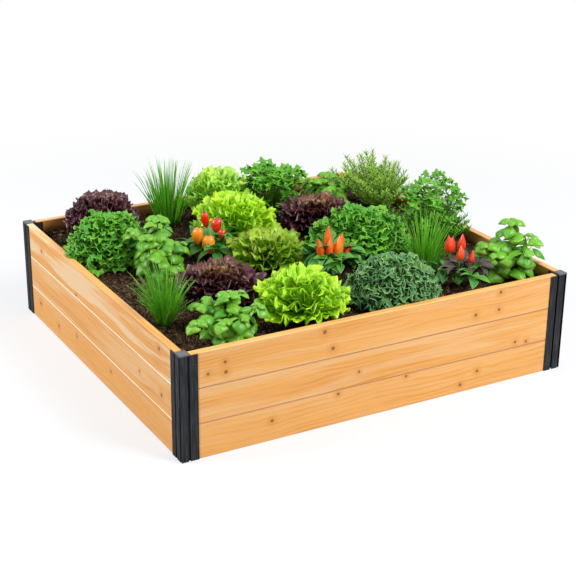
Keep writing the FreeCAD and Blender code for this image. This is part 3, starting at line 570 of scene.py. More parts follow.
class Growth:
    """Gathers the copies and stems of one plant into one mesh."""

    def __init__(self):
        self.points, self.corners, self.starts, self.uv = [], [], [], []
        self.tones, self.hearts = [], []
        self.point_count = self.corner_count = 0

    def add(self, points, corners, starts, uv, tone, heart):
        """Adds points and faces that share a tone and a share of the heart's colour."""
        self.points.append(points)
        self.corners.append(corners + self.point_count)
        self.starts.append(starts + self.corner_count)
        self.uv.append(uv)
        self.tones.append(np.full(len(points), tone))
        self.hearts.append(np.full(len(points), heart))
        self.point_count += len(points)
        self.corner_count += len(corners)

    def copy(self, master, matrix, tone=0.0, heart=0.0):
        """Adds a copy of a master, placed by a matrix."""
        turn = np.array(matrix.to_3x3())
        moved = master.points @ turn.T + np.array(matrix.translation)
        self.add(moved, master.corners, master.starts, master.uv, tone, heart)

    def rod(self, path, radii, sides=5, tone=0.0, heart=0.0):
        """Adds a round stem along a path, closed at both ends."""
        rings = rod_points(path, radii, sides)
        count = len(rings)
        corners, starts, uv = [], [], []
        for level in range(count - 1):
            for side in range(sides):
                after = (side + 1) % sides
                starts.append(len(corners))
                corners += [level * sides + side, level * sides + after,
                            (level + 1) * sides + after, (level + 1) * sides + side]
                low, high = level / (count - 1), (level + 1) / (count - 1)
                uv += [low, 0.9, low, 0.9, high, 0.9, high, 0.9]
        starts.append(len(corners))
        corners += list(range(sides))[::-1]
        starts.append(len(corners))
        corners += [(count - 1) * sides + side for side in range(sides)]
        uv += [0.0, 0.9] * sides + [1.0, 0.9] * sides
        self.add(rings.reshape(-1, 3), np.array(corners, dtype=np.int32),
                 np.array(starts, dtype=np.int32), np.array(uv), tone, heart)

    def finish(self, name, place, material, slot_name, node):
        """Makes the plant's object in place of its node."""
        points = np.concatenate(self.points) + np.array(place)
        keep_inside(points, place)
        mesh = bpy.data.meshes.new(name)
        corners = np.concatenate(self.corners)
        starts = np.concatenate(self.starts)
        mesh.vertices.add(len(points))
        mesh.vertices.foreach_set("co", points.ravel())
        mesh.loops.add(len(corners))
        mesh.loops.foreach_set("vertex_index", corners)
        mesh.polygons.add(len(starts))
        mesh.polygons.foreach_set("loop_start", starts)
        mesh.polygons.foreach_set("use_smooth", [True] * len(starts))
        mesh.update(calc_edges=True)
        mesh.uv_layers.new(name="leaf").data.foreach_set("uv", np.concatenate(self.uv))
        for kind, values in (("tone", self.tones), ("heart", self.hearts)):
            layer = mesh.attributes.new(kind, "FLOAT", "POINT")
            layer.data.foreach_set("value", np.concatenate(values))
        piece = bpy.data.objects.new(name, mesh)
        bpy.context.scene.collection.objects.link(piece)
        piece.data.materials.append(material)
        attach(piece, "root")
        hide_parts(node)
        return piece


def keep_inside(points, place):
    """Draws a plant in where it would pass the bed's box, and lower down between the planks."""
    low = points[:, 2] < PLANK_TOP + 0.004
    for axis, wall in ((0, INNER_X - 0.002), (1, INNER_Y - 0.002)):
        for side in (-1, 1):
            reach = side * (points[:, axis] - place[axis])
            room = FRAME_BOX[1][axis] - side * place[axis]
            points[reach > 0, axis] = (place[axis] + (points[reach > 0, axis] - place[axis])
                                       * min(1, room / max(reach.max(), 1e-6)))
        points[low, axis] = np.clip(points[low, axis], -wall, wall)
    points[:, 2] = np.minimum(points[:, 2], FRAME_BOX[1][2])


def node_place(node):
    """The middle of a node's foot, on the soil."""
    low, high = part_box(node)
    return ((low[0] + high[0]) / 2, (low[1] + high[1]) / 2, SOIL_TOP - 0.002)


def node_height(node):
    """How high a node stands over the soil."""
    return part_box(node)[1][2] - SOIL_TOP


def leaf_matrix(place, azimuth, pitch=0.0, roll=0.0, size=1.0):
    """A leaf's place: it points along its azimuth, tipped up by its pitch."""
    return (Matrix.Translation(place) @ Matrix.Rotation(azimuth, 4, "Z")
            @ Matrix.Rotation(-pitch, 4, "Y") @ Matrix.Rotation(roll, 4, "X")
            @ Matrix.Scale(size, 4))


def arch(share, length_, rise, droop):
    """Distance out, height and heading along a rib that starts at rise and bends by droop."""
    droop = droop if abs(droop) > 1e-4 else 1e-4
    heading = rise - droop * share
    out = length_ * (np.sin(rise) - np.sin(heading)) / droop
    high = length_ * (np.cos(heading) - np.cos(rise)) / droop
    return out, high, heading


# --- leaf material -------------------------------------------------------------------------

def leaf_group():
    """A leaf's surface: midrib and side veins, a rim, mottling and a tone for each leaf."""
    tree, given = new_group("leaf surface", {
        "Leaf": "Color", "Vein": "Color", "Rim": "Color", "Heart": "Color",
        "Vein Share": "Float", "Rim Share": "Float", "Vein Count": "Float"},
        {"Color": "Color", "Height": "Float", "Roughness": "Float"})
    uv = add_node(tree, "ShaderNodeUVMap", uv_map="leaf").outputs[0]
    split = add_node(tree, "ShaderNodeSeparateXYZ", {0: uv}).outputs
    along = split[0]
    across = math_node(tree, "ABSOLUTE", math_node(tree, "MULTIPLY_ADD", split[1], 2.0, -1.0))
    place = add_node(tree, "ShaderNodeTexCoord").outputs["Object"]
    tone = add_node(tree, "ShaderNodeAttribute", attribute_name="tone").outputs["Fac"]
    heart = add_node(tree, "ShaderNodeAttribute", attribute_name="heart").outputs["Fac"]
    rib = between(tree, across, 0.075, 0.02)
    slant = math_node(tree, "MULTIPLY_ADD", across, -0.30, along)
    wave = math_node(tree, "SINE", math_node(tree, "MULTIPLY", slant, given["Vein Count"]))
    side_vein = math_node(tree, "MULTIPLY", between(tree, wave, 0.86, 1.0),
                          between(tree, across, 0.95, 0.6))
    vein = math_node(tree, "MAXIMUM", rib, math_node(tree, "MULTIPLY", side_vein, 0.6))
    mottle = noise_value(tree, place, 130.0, 3.0)
    colour = mix_colour(tree, heart, given["Leaf"], given["Heart"])
    colour = mix_colour(tree, math_node(tree, "MULTIPLY", vein, given["Vein Share"]), colour,
                        given["Vein"])
    edge = math_node(tree, "MAXIMUM", between(tree, across, 0.80, 1.0),
                     between(tree, along, 0.86, 1.0))
    colour = mix_colour(tree, math_node(tree, "MULTIPLY", edge, given["Rim Share"]), colour,
                        given["Rim"])
    value = math_node(tree, "MULTIPLY_ADD", mottle, 0.7, 0.65)
    value = math_node(tree, "MULTIPLY_ADD", tone, 0.5, value)
    hue = math_node(tree, "MULTIPLY_ADD", tone, -0.03, 0.5)
    made = add_node(tree, "ShaderNodeHueSaturation", {"Hue": hue, "Value": value,
                                                      "Color": colour})
    fine = noise_value(tree, place, 900.0, 2.0)
    height = math_node(tree, "MULTIPLY_ADD", vein, -0.8, math_node(tree, "MULTIPLY", fine, 0.5))
    rough = math_node(tree, "MULTIPLY_ADD", mottle, 0.2, 0.28)
    group_result(tree, {"Color": made.outputs[0], "Height": height, "Roughness": rough})
    return tree


def leaf_material(name, group, leaf, vein, rim=None, heart=None, vein_share=0.5, rim_share=0.3,
                  vein_count=34.0, gloss=0.3):
    """The material of one kind of plant."""
    material, tree, shader = new_material(name, Specular_IOR_Level=gloss)
    made = use_group(tree, group, {
        "Leaf": rgba(leaf), "Vein": rgba(vein), "Rim": rgba(rim or vein),
        "Heart": rgba(heart or leaf), "Vein Share": vein_share, "Rim Share": rim_share,
        "Vein Count": vein_count})
    tree.links.new(made["Color"], shader.inputs["Base Color"])
    tree.links.new(made["Roughness"], shader.inputs["Roughness"])
    bump(tree, shader, made["Height"], 0.0006, 0.6)
    return material


# --- soil ----------------------------------------------------------------------------------

def soil_material(soil):
    """Crumbly soil: dark and damp low down, dry and brown on the crumbs."""
    material, tree, shader = new_material("crumbly soil", 0.95, Specular_IOR_Level=0.15)
    place = add_node(tree, "ShaderNodeTexCoord").outputs["Object"]
    crumbs = add_node(tree, "ShaderNodeTexVoronoi", {"Vector": place, "Scale": 210.0,
                      "Randomness": 1.0}, feature="F1")
    grain = noise_value(tree, place, 420.0, 4.0, 0.65)
    patch = noise_value(tree, place, 38.0, 4.0, 0.6)
    cell = add_node(tree, "ShaderNodeSeparateColor", {0: crumbs.outputs["Color"]}).outputs[0]
    tone = add_node(tree, "ShaderNodeAttribute", attribute_name="tone").outputs["Fac"]
    share = math_node(tree, "MULTIPLY", between(tree, cell, 0.25, 1.0),
                      between(tree, patch, 0.35, 0.68))
    share = math_node(tree, "MULTIPLY_ADD", between(tree, grain, 0.45, 0.8), 0.45, share)
    share = math_node(tree, "ADD", share, tone, clamp=True)
    colour = mix_colour(tree, share, rgba(soil.dark), rgba(soil.light))
    tree.links.new(colour, shader.inputs["Base Color"])
    deep = math_node(tree, "MULTIPLY_ADD", crumbs.outputs["Distance"], -120.0,
                     math_node(tree, "MULTIPLY", grain, 1.2))
    bump(tree, shader, deep, 0.003, 0.9)
    return material


class GARDEN_OT_soil(bpy.types.Operator):
    """Model the soil with its lumps and crumbs"""
    bl_idname = "garden_bed.soil"
    bl_label = "Soil"

    def execute(self, context):
        soil = look().garden_soil
        low, high = (Vector(corner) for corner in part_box("soil"))
        columns, rows = 220, 208
        notch = 0.052
        deselect()
        bpy.ops.mesh.primitive_grid_add(x_subdivisions=columns, y_subdivisions=rows, size=1.0)
        bed = bpy.context.object
        bed.name = "garden_soil"
        scale = Matrix.Diagonal((high.x - low.x, high.y - low.y, 1.0, 1.0))
        bed.data.transform(Matrix.Translation((0, 0, high.z)) @ scale)
        for vertex in bed.data.vertices:
            at = vertex.co
            big = noise.noise(Vector((at.x * 22, at.y * 22, 0)))
            fine = noise.noise(Vector((at.x * 95, at.y * 95, 5)))
            tiny = noise.noise(Vector((at.x * 240, at.y * 240, 9)))
            rim = min(high.x - abs(at.x), high.y - abs(at.y))
            heap = 0.45 * big + 0.42 * fine + 0.34 * tiny
            at.z += soil.lump_height * (heap - 0.10) + 0.004 * math.exp(-rim / 0.02)
        bpy.ops.object.mode_set(mode="EDIT")
        bpy.ops.mesh.select_mode(type="FACE")
        bpy.ops.mesh.select_all(action="DESELECT")
        bpy.ops.object.mode_set(mode="OBJECT")
        for face in bed.data.polygons:
            at = face.center
            in_corner = abs(at.x) > high.x - notch and abs(at.y) > high.y - notch
            face.select = in_corner
        bpy.ops.object.mode_set(mode="EDIT")
        bpy.ops.mesh.delete(type="FACE")
        bpy.ops.mesh.select_all(action="SELECT")
        bpy.ops.mesh.region_to_loop()
        bpy.ops.mesh.extrude_edges_move(TRANSFORM_OT_translate={"value": (0, 0, -0.05)})
        bpy.ops.object.mode_set(mode="OBJECT")
        for vertex in bed.data.vertices:
            if vertex.co.z < high.z - 0.025:
                vertex.co.z = low.z
        bpy.ops.object.mode_set(mode="EDIT")
        bpy.ops.mesh.edge_face_add()
        bpy.ops.mesh.select_all(action="SELECT")
        bpy.ops.mesh.normals_make_consistent(inside=False)
        bpy.ops.object.mode_set(mode="OBJECT")
        soften(bed)
        bed.data.attributes.new("tone", "FLOAT", "POINT")
        material = soil_material(soil)
        bed.data.materials.append(material)
        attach(bed, "root")
        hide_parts("soil")
        self.scatter(soil, high, material)
        return {"FINISHED"}

    def scatter(self, soil, high, material):
        """Loose crumbs over the surface, in one piece."""
        deselect()
        bpy.ops.mesh.primitive_ico_sphere_add(subdivisions=1, radius=0.5, location=(0, 0, 0))
        lump = bpy.context.object
        seed = random.Random("crumbs")
        for vertex in lump.data.vertices:
            vertex.co *= seed.uniform(0.75, 1.15)
        master = Master(lump)
        growth = Growth()
        for _ in range(soil.crumbs):
            x = seed.uniform(-1, 1) * (high.x - 0.012)
            y = seed.uniform(-1, 1) * (high.y - 0.012)
            if abs(x) > high.x - 0.06 and abs(y) > high.y - 0.06:
                continue
            wide = soil.crumb_size * (0.25 + 0.75 * seed.random() ** 3)
            turn = Matrix.Rotation(seed.uniform(0, 6.28), 4, (seed.random(), seed.random(), 1))
            size = Matrix.Diagonal((wide, wide * seed.uniform(0.6, 1), wide * 0.7, 1))
            place = Matrix.Translation((x, y, seed.uniform(-0.001, 0.003)))
            growth.copy(master, place @ turn @ size, seed.uniform(-0.5, 0.7))
        piece = growth.finish("soil_crumbs", (0, 0, high.z), material, "soil", "soil")
        piece.data.polygons.foreach_set("use_smooth", [False] * len(piece.data.polygons))


# --- salads --------------------------------------------------------------------------------

def phases(seed, count):
    """Random starts for the waves of a leaf."""
    return [seed.uniform(0, 6.28) for _ in range(count)]


def salad_form(seed, length_, width, rise, droop, frill):
    """A lettuce leaf: a fan on a pale rib, its rim tightly frilled and torn."""
    phase = phases(seed, 8)

    def form(along, across):
        spread = np.radians(66) * np.minimum(1, 0.22 + 1.1 * along)
        angle = across * spread
        torn = np.abs(np.sin(11 * across + phase[5])) * np.abs(np.sin(6 * across + phase[6]))
        reach = along * (1 - 0.16 * torn * along ** 2) * (1 - 0.16 * across ** 2)
        out, high, heading = arch(reach * np.cos(angle * 0.8), length_, rise, droop)
        rim = np.maximum(along ** 3, 0.8 * along * np.abs(across) ** 4)
        wave = (0.8 * np.sin(10 * across + phase[0]) + np.sin(19 * across + phase[1])
                + 0.8 * np.sin(29 * across + 3 * along + phase[2]))
        rough = (np.sin(23 * along + 9 * across + phase[3]) * np.sin(17 * across + phase[4]))
        lift = frill * rim * wave + 0.0026 * along * rough
        lift += 0.20 * length_ * across ** 2 * (0.3 + 0.7 * along)
        aside = reach * np.sin(angle) * width * length_
        aside += 0.6 * frill * rim * np.cos(19 * across + phase[7])
        return out - np.sin(heading) * lift, aside, high + np.cos(heading) * lift

    return form


def chord_leaf(radius, height, droop):
    """Length and starting angle of a rib that bends by droop and ends at a radius and height."""
    chord = math.hypot(radius, height)
    length_ = chord * (droop / 2) / math.sin(droop / 2)
    return length_, math.atan2(height, radius) + droop / 2


# Each lettuce's radius, how deep the frills of its rim are, and how much of the heart's colour
# shows.
SALADS = {
    "lettuce_green_front": (0.134, 0.0078, 1.0), "lettuce_green_back": (0.136, 0.0078, 1.0),
    "lettuce_pale_back": (0.120, 0.0070, 1.0), "lettuce_red_front": (0.134, 0.0066, 1.0),
    "lettuce_red_middle": (0.132, 0.0066, 1.0), "lettuce_red_back": (0.128, 0.0070, 0.25),
    "lettuce_bronze_middle": (0.132, 0.0072, 1.0),
}
# The whorls of a head, from the outside in: leaves, shares of the radius and height that the
# rims reach, how far the leaves bend, and how much they look like the heart.
WHORLS = ((9, 1.00, 0.30, 20, 0.0), (9, 0.90, 0.58, 34, 0.0), (8, 0.70, 0.80, 44, 0.1),
          (7, 0.48, 0.94, 46, 0.35), (5, 0.27, 0.98, 36, 0.7), (4, 0.12, 0.92, 20, 1.0))


def grow_salad(name, radius, frill, heart_share):
    """A head of lettuce: whorls of leaves, from flat outer ones to an upright heart."""
    growth, seed = Growth(), random.Random(name)
    tall = node_height(name)
    for number, (count, out_share, high_share, droop, heart) in enumerate(WHORLS):
        for index in range(count):
            bend = math.radians(droop * seed.uniform(0.8, 1.2))
            leaf_length, rise = chord_leaf(radius * out_share * seed.uniform(0.90, 1.06),
                                           tall * high_share * seed.uniform(0.90, 1.04), bend)
            form = salad_form(seed, leaf_length, seed.uniform(0.52, 0.64), rise, bend, frill)
            leaf = leaf_master(form, 10, 40)
            azimuth = 2 * math.pi * (index + 0.5 * number + seed.uniform(-0.15, 0.15)) / count
            foot = (0.008 * math.cos(azimuth), 0.008 * math.sin(azimuth), 0.004)
            growth.copy(leaf, leaf_matrix(foot, azimuth), seed.uniform(-0.4, 0.4),
                        heart * heart_share)
    return growth


class GARDEN_OT_salads(bpy.types.Operator):
    """Model the lettuces"""
    bl_idname = "garden_bed.salads"
    bl_label = "Salads"

    def execute(self, context):
        leaf, group = look().garden_leaf, surface_of_leaves()
        green = leaf_material("green salad leaf", group, leaf.salad, (0.62, 0.85, 0.16),
                              (0.50, 0.84, 0.03), (0.46, 0.80, 0.03), 0.30, 0.5, 26.0, 0.4)
        pale = leaf_material("pale salad leaf", group, leaf.pale_salad, (0.60, 0.82, 0.22),
                             (0.50, 0.80, 0.12), (0.5, 0.78, 0.12), 0.30, 0.4, 26.0, 0.4)
        red = leaf_material("red salad leaf", group, leaf.red_salad, (0.16, 0.03, 0.03),
                            (0.12, 0.02, 0.05), (0.26, 0.13, 0.022), 0.5, 0.35, 26.0, 0.6)
        bronze = leaf_material("bronze salad leaf", group, leaf.bronze_salad, (0.42, 0.62, 0.06),
                               leaf.bronze_tip, (0.34, 0.66, 0.03), 0.3, 0.42, 26.0, 0.4)
        finishes = {"green": (green, "bright_leaf"), "pale": (pale, "bright_leaf"),
                    "red": (red, "red_leaf"), "bronze": (bronze, "bronze_leaf")}
        for name, (radius, frill, heart_share) in SALADS.items():
            material, slot_name = finishes[name.split("_")[1]]
            growth = grow_salad(name, radius, frill, heart_share)
            growth.finish(name + "_head", node_place(name), material, slot_name, name)
        return {"FINISHED"}


def surface_of_leaves():
    """The one leaf surface group."""
    return bpy.data.node_groups.get("leaf surface") or leaf_group()


# --- basil ---------------------------------------------------------------------------------

def basil_form(length_, width, rise, droop):
    """A basil leaf: oval, quilted between its veins, its sides and tip turned down."""
    def form(along, across):
        stalk = 0.10
        blade = np.clip((along - stalk) / (1 - stalk), 0, 1)
        half = 0.5 * width * np.sin(math.pi * blade ** 0.80) ** 0.66 * (1 - 0.20 * blade)
        half = np.maximum(half, 0.0011)
        out, high, heading = arch(along, length_, rise, droop)
        quilt = np.abs(np.sin(math.pi * 3.0 * (along - 0.30 * np.abs(across))))
        lift = -0.62 * half * np.abs(across) ** 1.9
        lift += 0.026 * quilt * np.sin(math.pi * np.abs(across)) * np.sin(math.pi * blade)
        lift -= 0.030 * np.exp(-(across / 0.12) ** 2) * np.sin(math.pi * blade)
        return out - np.sin(heading) * lift, half * across, high + np.cos(heading) * lift

    return form


def shoot(growth, seed, foot, azimuth, lean, tall, leaf_length, levels, masters):
    """A stem with pairs of leaves, each pair square to the one below, and a tuft on top."""
    path = []
    for step in range(7):
        share = step / 6
        out = math.sin(lean) * tall * share ** 1.2
        path.append(Vector((foot[0] + out * math.cos(azimuth), foot[1] + out * math.sin(azimuth),
                            foot[2] + math.cos(lean) * tall * share)))
    growth.rod(path, np.linspace(0.0028, 0.0015, 7), 6, 0.2)
    for level in range(levels):
        share = 0.34 + 0.58 * level / max(levels - 1, 1)
        step = min(int(share * 6), 5)
        at = path[step].lerp(path[step + 1], share * 6 - step)
        size = leaf_length * (1.0 - 0.22 * (level / max(levels - 1, 1)) ** 1.5)
        for side in (0, 1):
            turn = azimuth + math.pi * side + math.pi / 2 * (level % 2)
            turn += seed.uniform(-0.35, 0.35)
            matrix = leaf_matrix(at, turn, seed.uniform(-0.25, 0.25), seed.uniform(-0.3, 0.3),
                                 size * seed.uniform(0.85, 1.12))
            growth.copy(seed.choice(masters), matrix, seed.uniform(-0.4, 0.4))
    for index in range(4 if levels > 3 else 2):
        turn = azimuth + math.pi / 2 * index + 0.4
        size = leaf_length * (0.62 if index % 2 else 0.48)
        leaf = masters[1 + index % 2]
        pitch = 0.30 - 0.35 * (index % 2)
        growth.copy(leaf, leaf_matrix(path[-1], turn, pitch, 0.0, size), 0.2)


# Each basil's number of side shoots, their share of its height, how far they lean in degrees,
# and its longest leaf.
BASILS = {"basil_left": (9, 0.74, 44, 0.078), "basil_front": (9, 0.86, 56, 0.070),
          "basil_right": (9, 0.72, 42, 0.080), "basil_back": (8, 0.86, 40, 0.074)}


class GARDEN_OT_basils(bpy.types.Operator):
    """Model the basil bushes"""
    bl_idname = "garden_bed.basils"
    bl_label = "Basil"

    def execute(self, context):
        leaf = look().garden_leaf
        material = leaf_material("basil leaf", surface_of_leaves(), leaf.basil, leaf.basil_vein,
                                 vein_share=0.30, rim_share=0.45, vein_count=29.0, gloss=0.6)
        masters = []
        for rise, droop, width in ((0.50, 1.7, 0.84), (0.40, 2.1, 0.80), (0.62, 1.9, 0.88),
                                   (0.30, 1.5, 0.82)):
            masters.append(leaf_master(basil_form(1.0, width, rise, droop), 12, 10, 0.010))
        for name, (shoots, share, lean, leaf_length) in BASILS.items():
            growth, seed = Growth(), random.Random(name)
            tall = node_height(name)
            shoot(growth, seed, (0, 0, 0), 0.4, 0.05, tall * 0.93, leaf_length, 5, masters)
            for index in range(shoots):
                azimuth = 2 * math.pi * index / shoots + seed.uniform(-0.3, 0.3)
                foot = (0.010 * math.cos(azimuth), 0.010 * math.sin(azimuth), 0.0)
                shoot(growth, seed, foot, azimuth, math.radians(lean * seed.uniform(0.45, 1.0)),
                      tall * seed.uniform(share - 0.20, share + 0.12), leaf_length, 3, masters)
            growth.finish(name + "_bush", node_place(name), material, "green_leaf", name)
        return {"FINISHED"}


# --- chives --------------------------------------------------------------------------------

# Each tuft's radius, its number of blades, how much it is stretched, its foot's share of the
# radius, and where it leans to.
CHIVES = {"chives_left": (0.134, 190, 1.04, 0.17, (-0.030, -0.004)),
          "chives_back": (0.112, 170, 1.14, 0.34, (0.0, 0.0)),
          "chives_right": (0.104, 130, 1.0, 0.24, (0.006, 0.0))}


class GARDEN_OT_chives(bpy.types.Operator):
    """Model the tufts of chives"""
    bl_idname = "garden_bed.chives"
    bl_label = "Chives"

    def execute(self, context):
        leaf = look().garden_leaf
        material = leaf_material("chive blade", surface_of_leaves(), leaf.chive,
                                 (0.30, 0.62, 0.07), heart=(0.30, 0.50, 0.06), vein_share=0.0,
                                 rim_share=0.5, gloss=0.4)
        for name, (radius, blades, stretch, foot, drift) in CHIVES.items():
            growth, seed = Growth(), random.Random(name)
            tall = stretch * node_height(name)
            for index in range(blades):
                share = math.sqrt((index + 0.5) / blades)
                azimuth = GOLDEN_ANGLE * index + seed.uniform(-0.3, 0.3)
                base = foot * radius * share
                length_ = tall * seed.uniform(0.50, 1.08) * (1.03 - 0.10 * share)
                out = radius * share * seed.uniform(0.6, 1.15)
                path = []
                for step in range(7):
                    part = step / 6
                    away = base + (out - base) * part ** 1.35
                    rise = length_ * part * (1 - 0.16 * share * part ** 2)
                    path.append((away * math.cos(azimuth) + drift[0] * part ** 2,
                                 away * math.sin(azimuth) + drift[1] * part ** 2, rise))
                width = seed.uniform(0.0012, 0.0021)
                radii = width * np.array((1.0, 1.0, 0.95, 0.85, 0.7, 0.5, 0.16))
                growth.rod(path, radii, 4, seed.uniform(-0.5, 0.5))
            growth.finish(name + "_tuft", node_place(name), material, "green_leaf", name)
        return {"FINISHED"}


# --- curled leaves: parsley and kale -------------------------------------------------------

def curl_form(seed, depth, lobes):
    """A small fan whose rim is deeply cut and tightly curled."""
    phase = phases(seed, 4)

    def form(along, across):
        angle = across * np.radians(105) * np.minimum(1, 0.2 + along)
        reach = along * (1 - 0.30 * np.abs(np.sin(lobes * across + phase[0])) * along)
        lift = depth * along ** 1.6 * (np.sin(9 * across + phase[1])
                                       + 0.7 * np.sin(16 * across + phase[2]))
        x = reach * np.cos(angle) * 0.9
        y = reach * np.sin(angle) * 0.8
        z = lift + 0.25 * along ** 2 - 0.35 * along ** 4 + 0.05 * np.sin(phase[3] + 5 * y)
        return x, y, z

    return form


# Each mound's radius, number of leaf heads, size of a leaf and depth of its curl.
CURLED = {"parsley_curly_left": (0.126, 310, 0.028, 0.20),
          "kale_front": (0.130, 410, 0.026, 0.30),
          "parsley_curly_middle": (0.152, 440, 0.026, 0.18)}
# How far a mound stands from the middle of its node.
MOUND_SHIFTS = {"parsley_curly_left": (0.012, -0.006, -0.004)}


class GARDEN_OT_curled(bpy.types.Operator):
    """Model the curly parsleys and the kale"""
    bl_idname = "garden_bed.curled"
    bl_label = "Curly parsley and kale"

    def execute(self, context):
        leaf, group = look().garden_leaf, surface_of_leaves()
        parsley = leaf_material("parsley leaf", group, leaf.parsley, (0.28, 0.64, 0.06),
                                (0.22, 0.62, 0.05), leaf.stalk, 0.3, 0.5, 20.0, 0.5)
        kale = leaf_material("kale leaf", group, leaf.kale, (0.34, 0.58, 0.30),
                             (0.30, 0.56, 0.24), leaf.stalk, 0.25, 0.8, 20.0, 0.35)
        for name, (radius, count, size, depth) in CURLED.items():
            material = kale if name.startswith("kale") else parsley
            growth, seed = Growth(), random.Random(name)
            masters = [leaf_master(curl_form(seed, depth, 4 + number), 5, 9, 0.03)
                       for number in range(5)]
            self.mound(growth, seed, masters, radius, node_height(name), count, size)
            slot_name = "blue_green_leaf" if name.startswith("kale") else "green_leaf"
            place = Vector(node_place(name)) + Vector(MOUND_SHIFTS.get(name, (0, 0, 0)))
            growth.finish(name + "_mound", place, material, slot_name, name)
        return {"FINISHED"}

    def mound(self, growth, seed, masters, radius, tall, count, size):
        """Leaf heads over a dome, on stalks from the middle."""
        for index in range(count):
            share = (index + 0.5) / count
            azimuth = GOLDEN_ANGLE * index
            slope = math.acos(1 - share * 1.02)
            layer = seed.choice((1.0, 1.0, 0.88, 0.74))
            lump = Vector((2.6 * math.cos(azimuth), 2.6 * math.sin(azimuth),
                           2.6 * slope + 3 * radius))
            bulge = 1 + 0.24 * noise.noise(lump)
            away = (radius - 0.6 * size) * math.sin(slope) * layer * bulge
            high = (tall - 0.5 * size) * (0.16 + 0.84 * math.cos(slope)) * layer * bulge
            at = Vector((away * math.cos(azimuth), away * math.sin(azimuth), max(high, 0.006)))
            if index % 3 == 0:
                foot = Vector((at.x * 0.12, at.y * 0.12, 0))
                bend = foot.lerp(at, 0.55) + Vector((0, 0, 0.10 * tall))
                growth.rod([foot, bend, at], (0.0014, 0.0012, 0.0009), 4, 0.3, 1.0)
            pitch = math.radians(70) - slope * 0.75 + seed.uniform(-0.5, 0.5)
            # leaf heads set deeper in the mound get a darker tone: painted shade
            tone = seed.uniform(-0.5, 0.5) + 1.2 * (layer - 0.95)
            for turn in (-0.9, 0.9) if index % 2 else (0.0,):
                matrix = leaf_matrix(at, azimuth + turn + seed.uniform(-0.6, 0.6), pitch,
                                     seed.uniform(-0.5, 0.5), size * seed.uniform(0.8, 1.25))
                growth.copy(seed.choice(masters), matrix, tone)


# --- rosemary and flat parsley -------------------------------------------------------------

def needle_form(width):
    """A narrow leaf that bends down a little."""
    def form(along, across):
        half = 0.5 * width * np.sin(math.pi * np.clip(0.06 + 0.94 * along, 0, 1)) ** 0.6
        out, high, heading = arch(along, 1.0, 0.25, 0.5)
        lift = -0.3 * half * across ** 2
        return out - np.sin(heading) * lift, half * across, high + np.cos(heading) * lift

    return form


def feather(growth, seed, needle, tall, sprigs, lean_out, base):
    """Sprigs that lean out from a crown, each with needles all the way up it."""
    for index in range(sprigs):
        azimuth = GOLDEN_ANGLE * index
        share = math.sqrt((index + 0.5) / sprigs)
        lean = math.radians(lean_out) * share * seed.uniform(0.8, 1.1)
        sprig = tall * seed.uniform(0.55, 1.02) * (1 - 0.10 * share)
        path = []
        for step in range(6):
            part = step / 5
            away = base * share + math.sin(lean) * sprig * part ** 1.2
            path.append(Vector((away * math.cos(azimuth), away * math.sin(azimuth),
                                math.cos(lean) * sprig * part)))
        growth.rod(path, np.linspace(0.0016, 0.0007, 6), 4, 0.0, 1.0)
        rings = int(sprig / 0.0095)
        for ring in range(rings):
            part = 0.14 + 0.86 * ring / rings
            step = min(int(part * 5), 4)
            at = path[step].lerp(path[step + 1], part * 5 - step)
            for side in range(3):
                turn = 2.0944 * side + 1.1 * ring + seed.uniform(-0.3, 0.3)
                matrix = leaf_matrix(at, turn, 0.35 + 0.5 * part + seed.uniform(-0.2, 0.2),
                                     0.0, 0.030 * (1.1 - 0.45 * part))
                growth.copy(needle, matrix, seed.uniform(-0.5, 0.5))


class GARDEN_OT_rosemary(bpy.types.Operator):
    """Model the rosemary"""
    bl_idname = "garden_bed.rosemary"
    bl_label = "Rosemary"

    def execute(self, context):
        leaf = look().garden_leaf
        material = leaf_material("rosemary needle", surface_of_leaves(), leaf.rosemary,
                                 (0.24, 0.44, 0.08), heart=(0.16, 0.24, 0.05), vein_share=0.3,
                                 rim_share=0.3, gloss=0.3)
        needle = leaf_master(needle_form(0.17), 3, 1, 0.05)
        name = "rosemary_back"
        growth, seed = Growth(), random.Random(name)
        feather(growth, seed, needle, node_height(name), 74, 50, 0.034)
        growth.finish(name + "_bush", node_place(name), material, "green_leaf", name)
        return {"FINISHED"}


def leaflet_form(seed):
    """A flat parsley leaflet: a wedge with three lobes and a toothed rim."""
    phase = seed.uniform(-0.3, 0.3)

    def form(along, across):
        angle = across * np.radians(62) * np.minimum(1, 0.25 + along)
        lobes = 1 - 0.34 * np.abs(np.sin(3.0 * angle + phase)) * along
        teeth = 1 - 0.10 * np.abs(np.sin(12 * across)) * along ** 3
        reach = along * lobes * teeth
        z = 0.10 * along * np.cos(4 * across + phase) - 0.12 * along ** 2
        return reach * np.cos(angle), reach * np.sin(angle), z

    return form


# Each flat herb's radius, number of stalks and the size of its leaflets.
FLAT_HERBS = {"parsley_flat_right": (0.122, 90, 0.028),
              "parsley_flat_back": (0.110, 110, 0.028)}


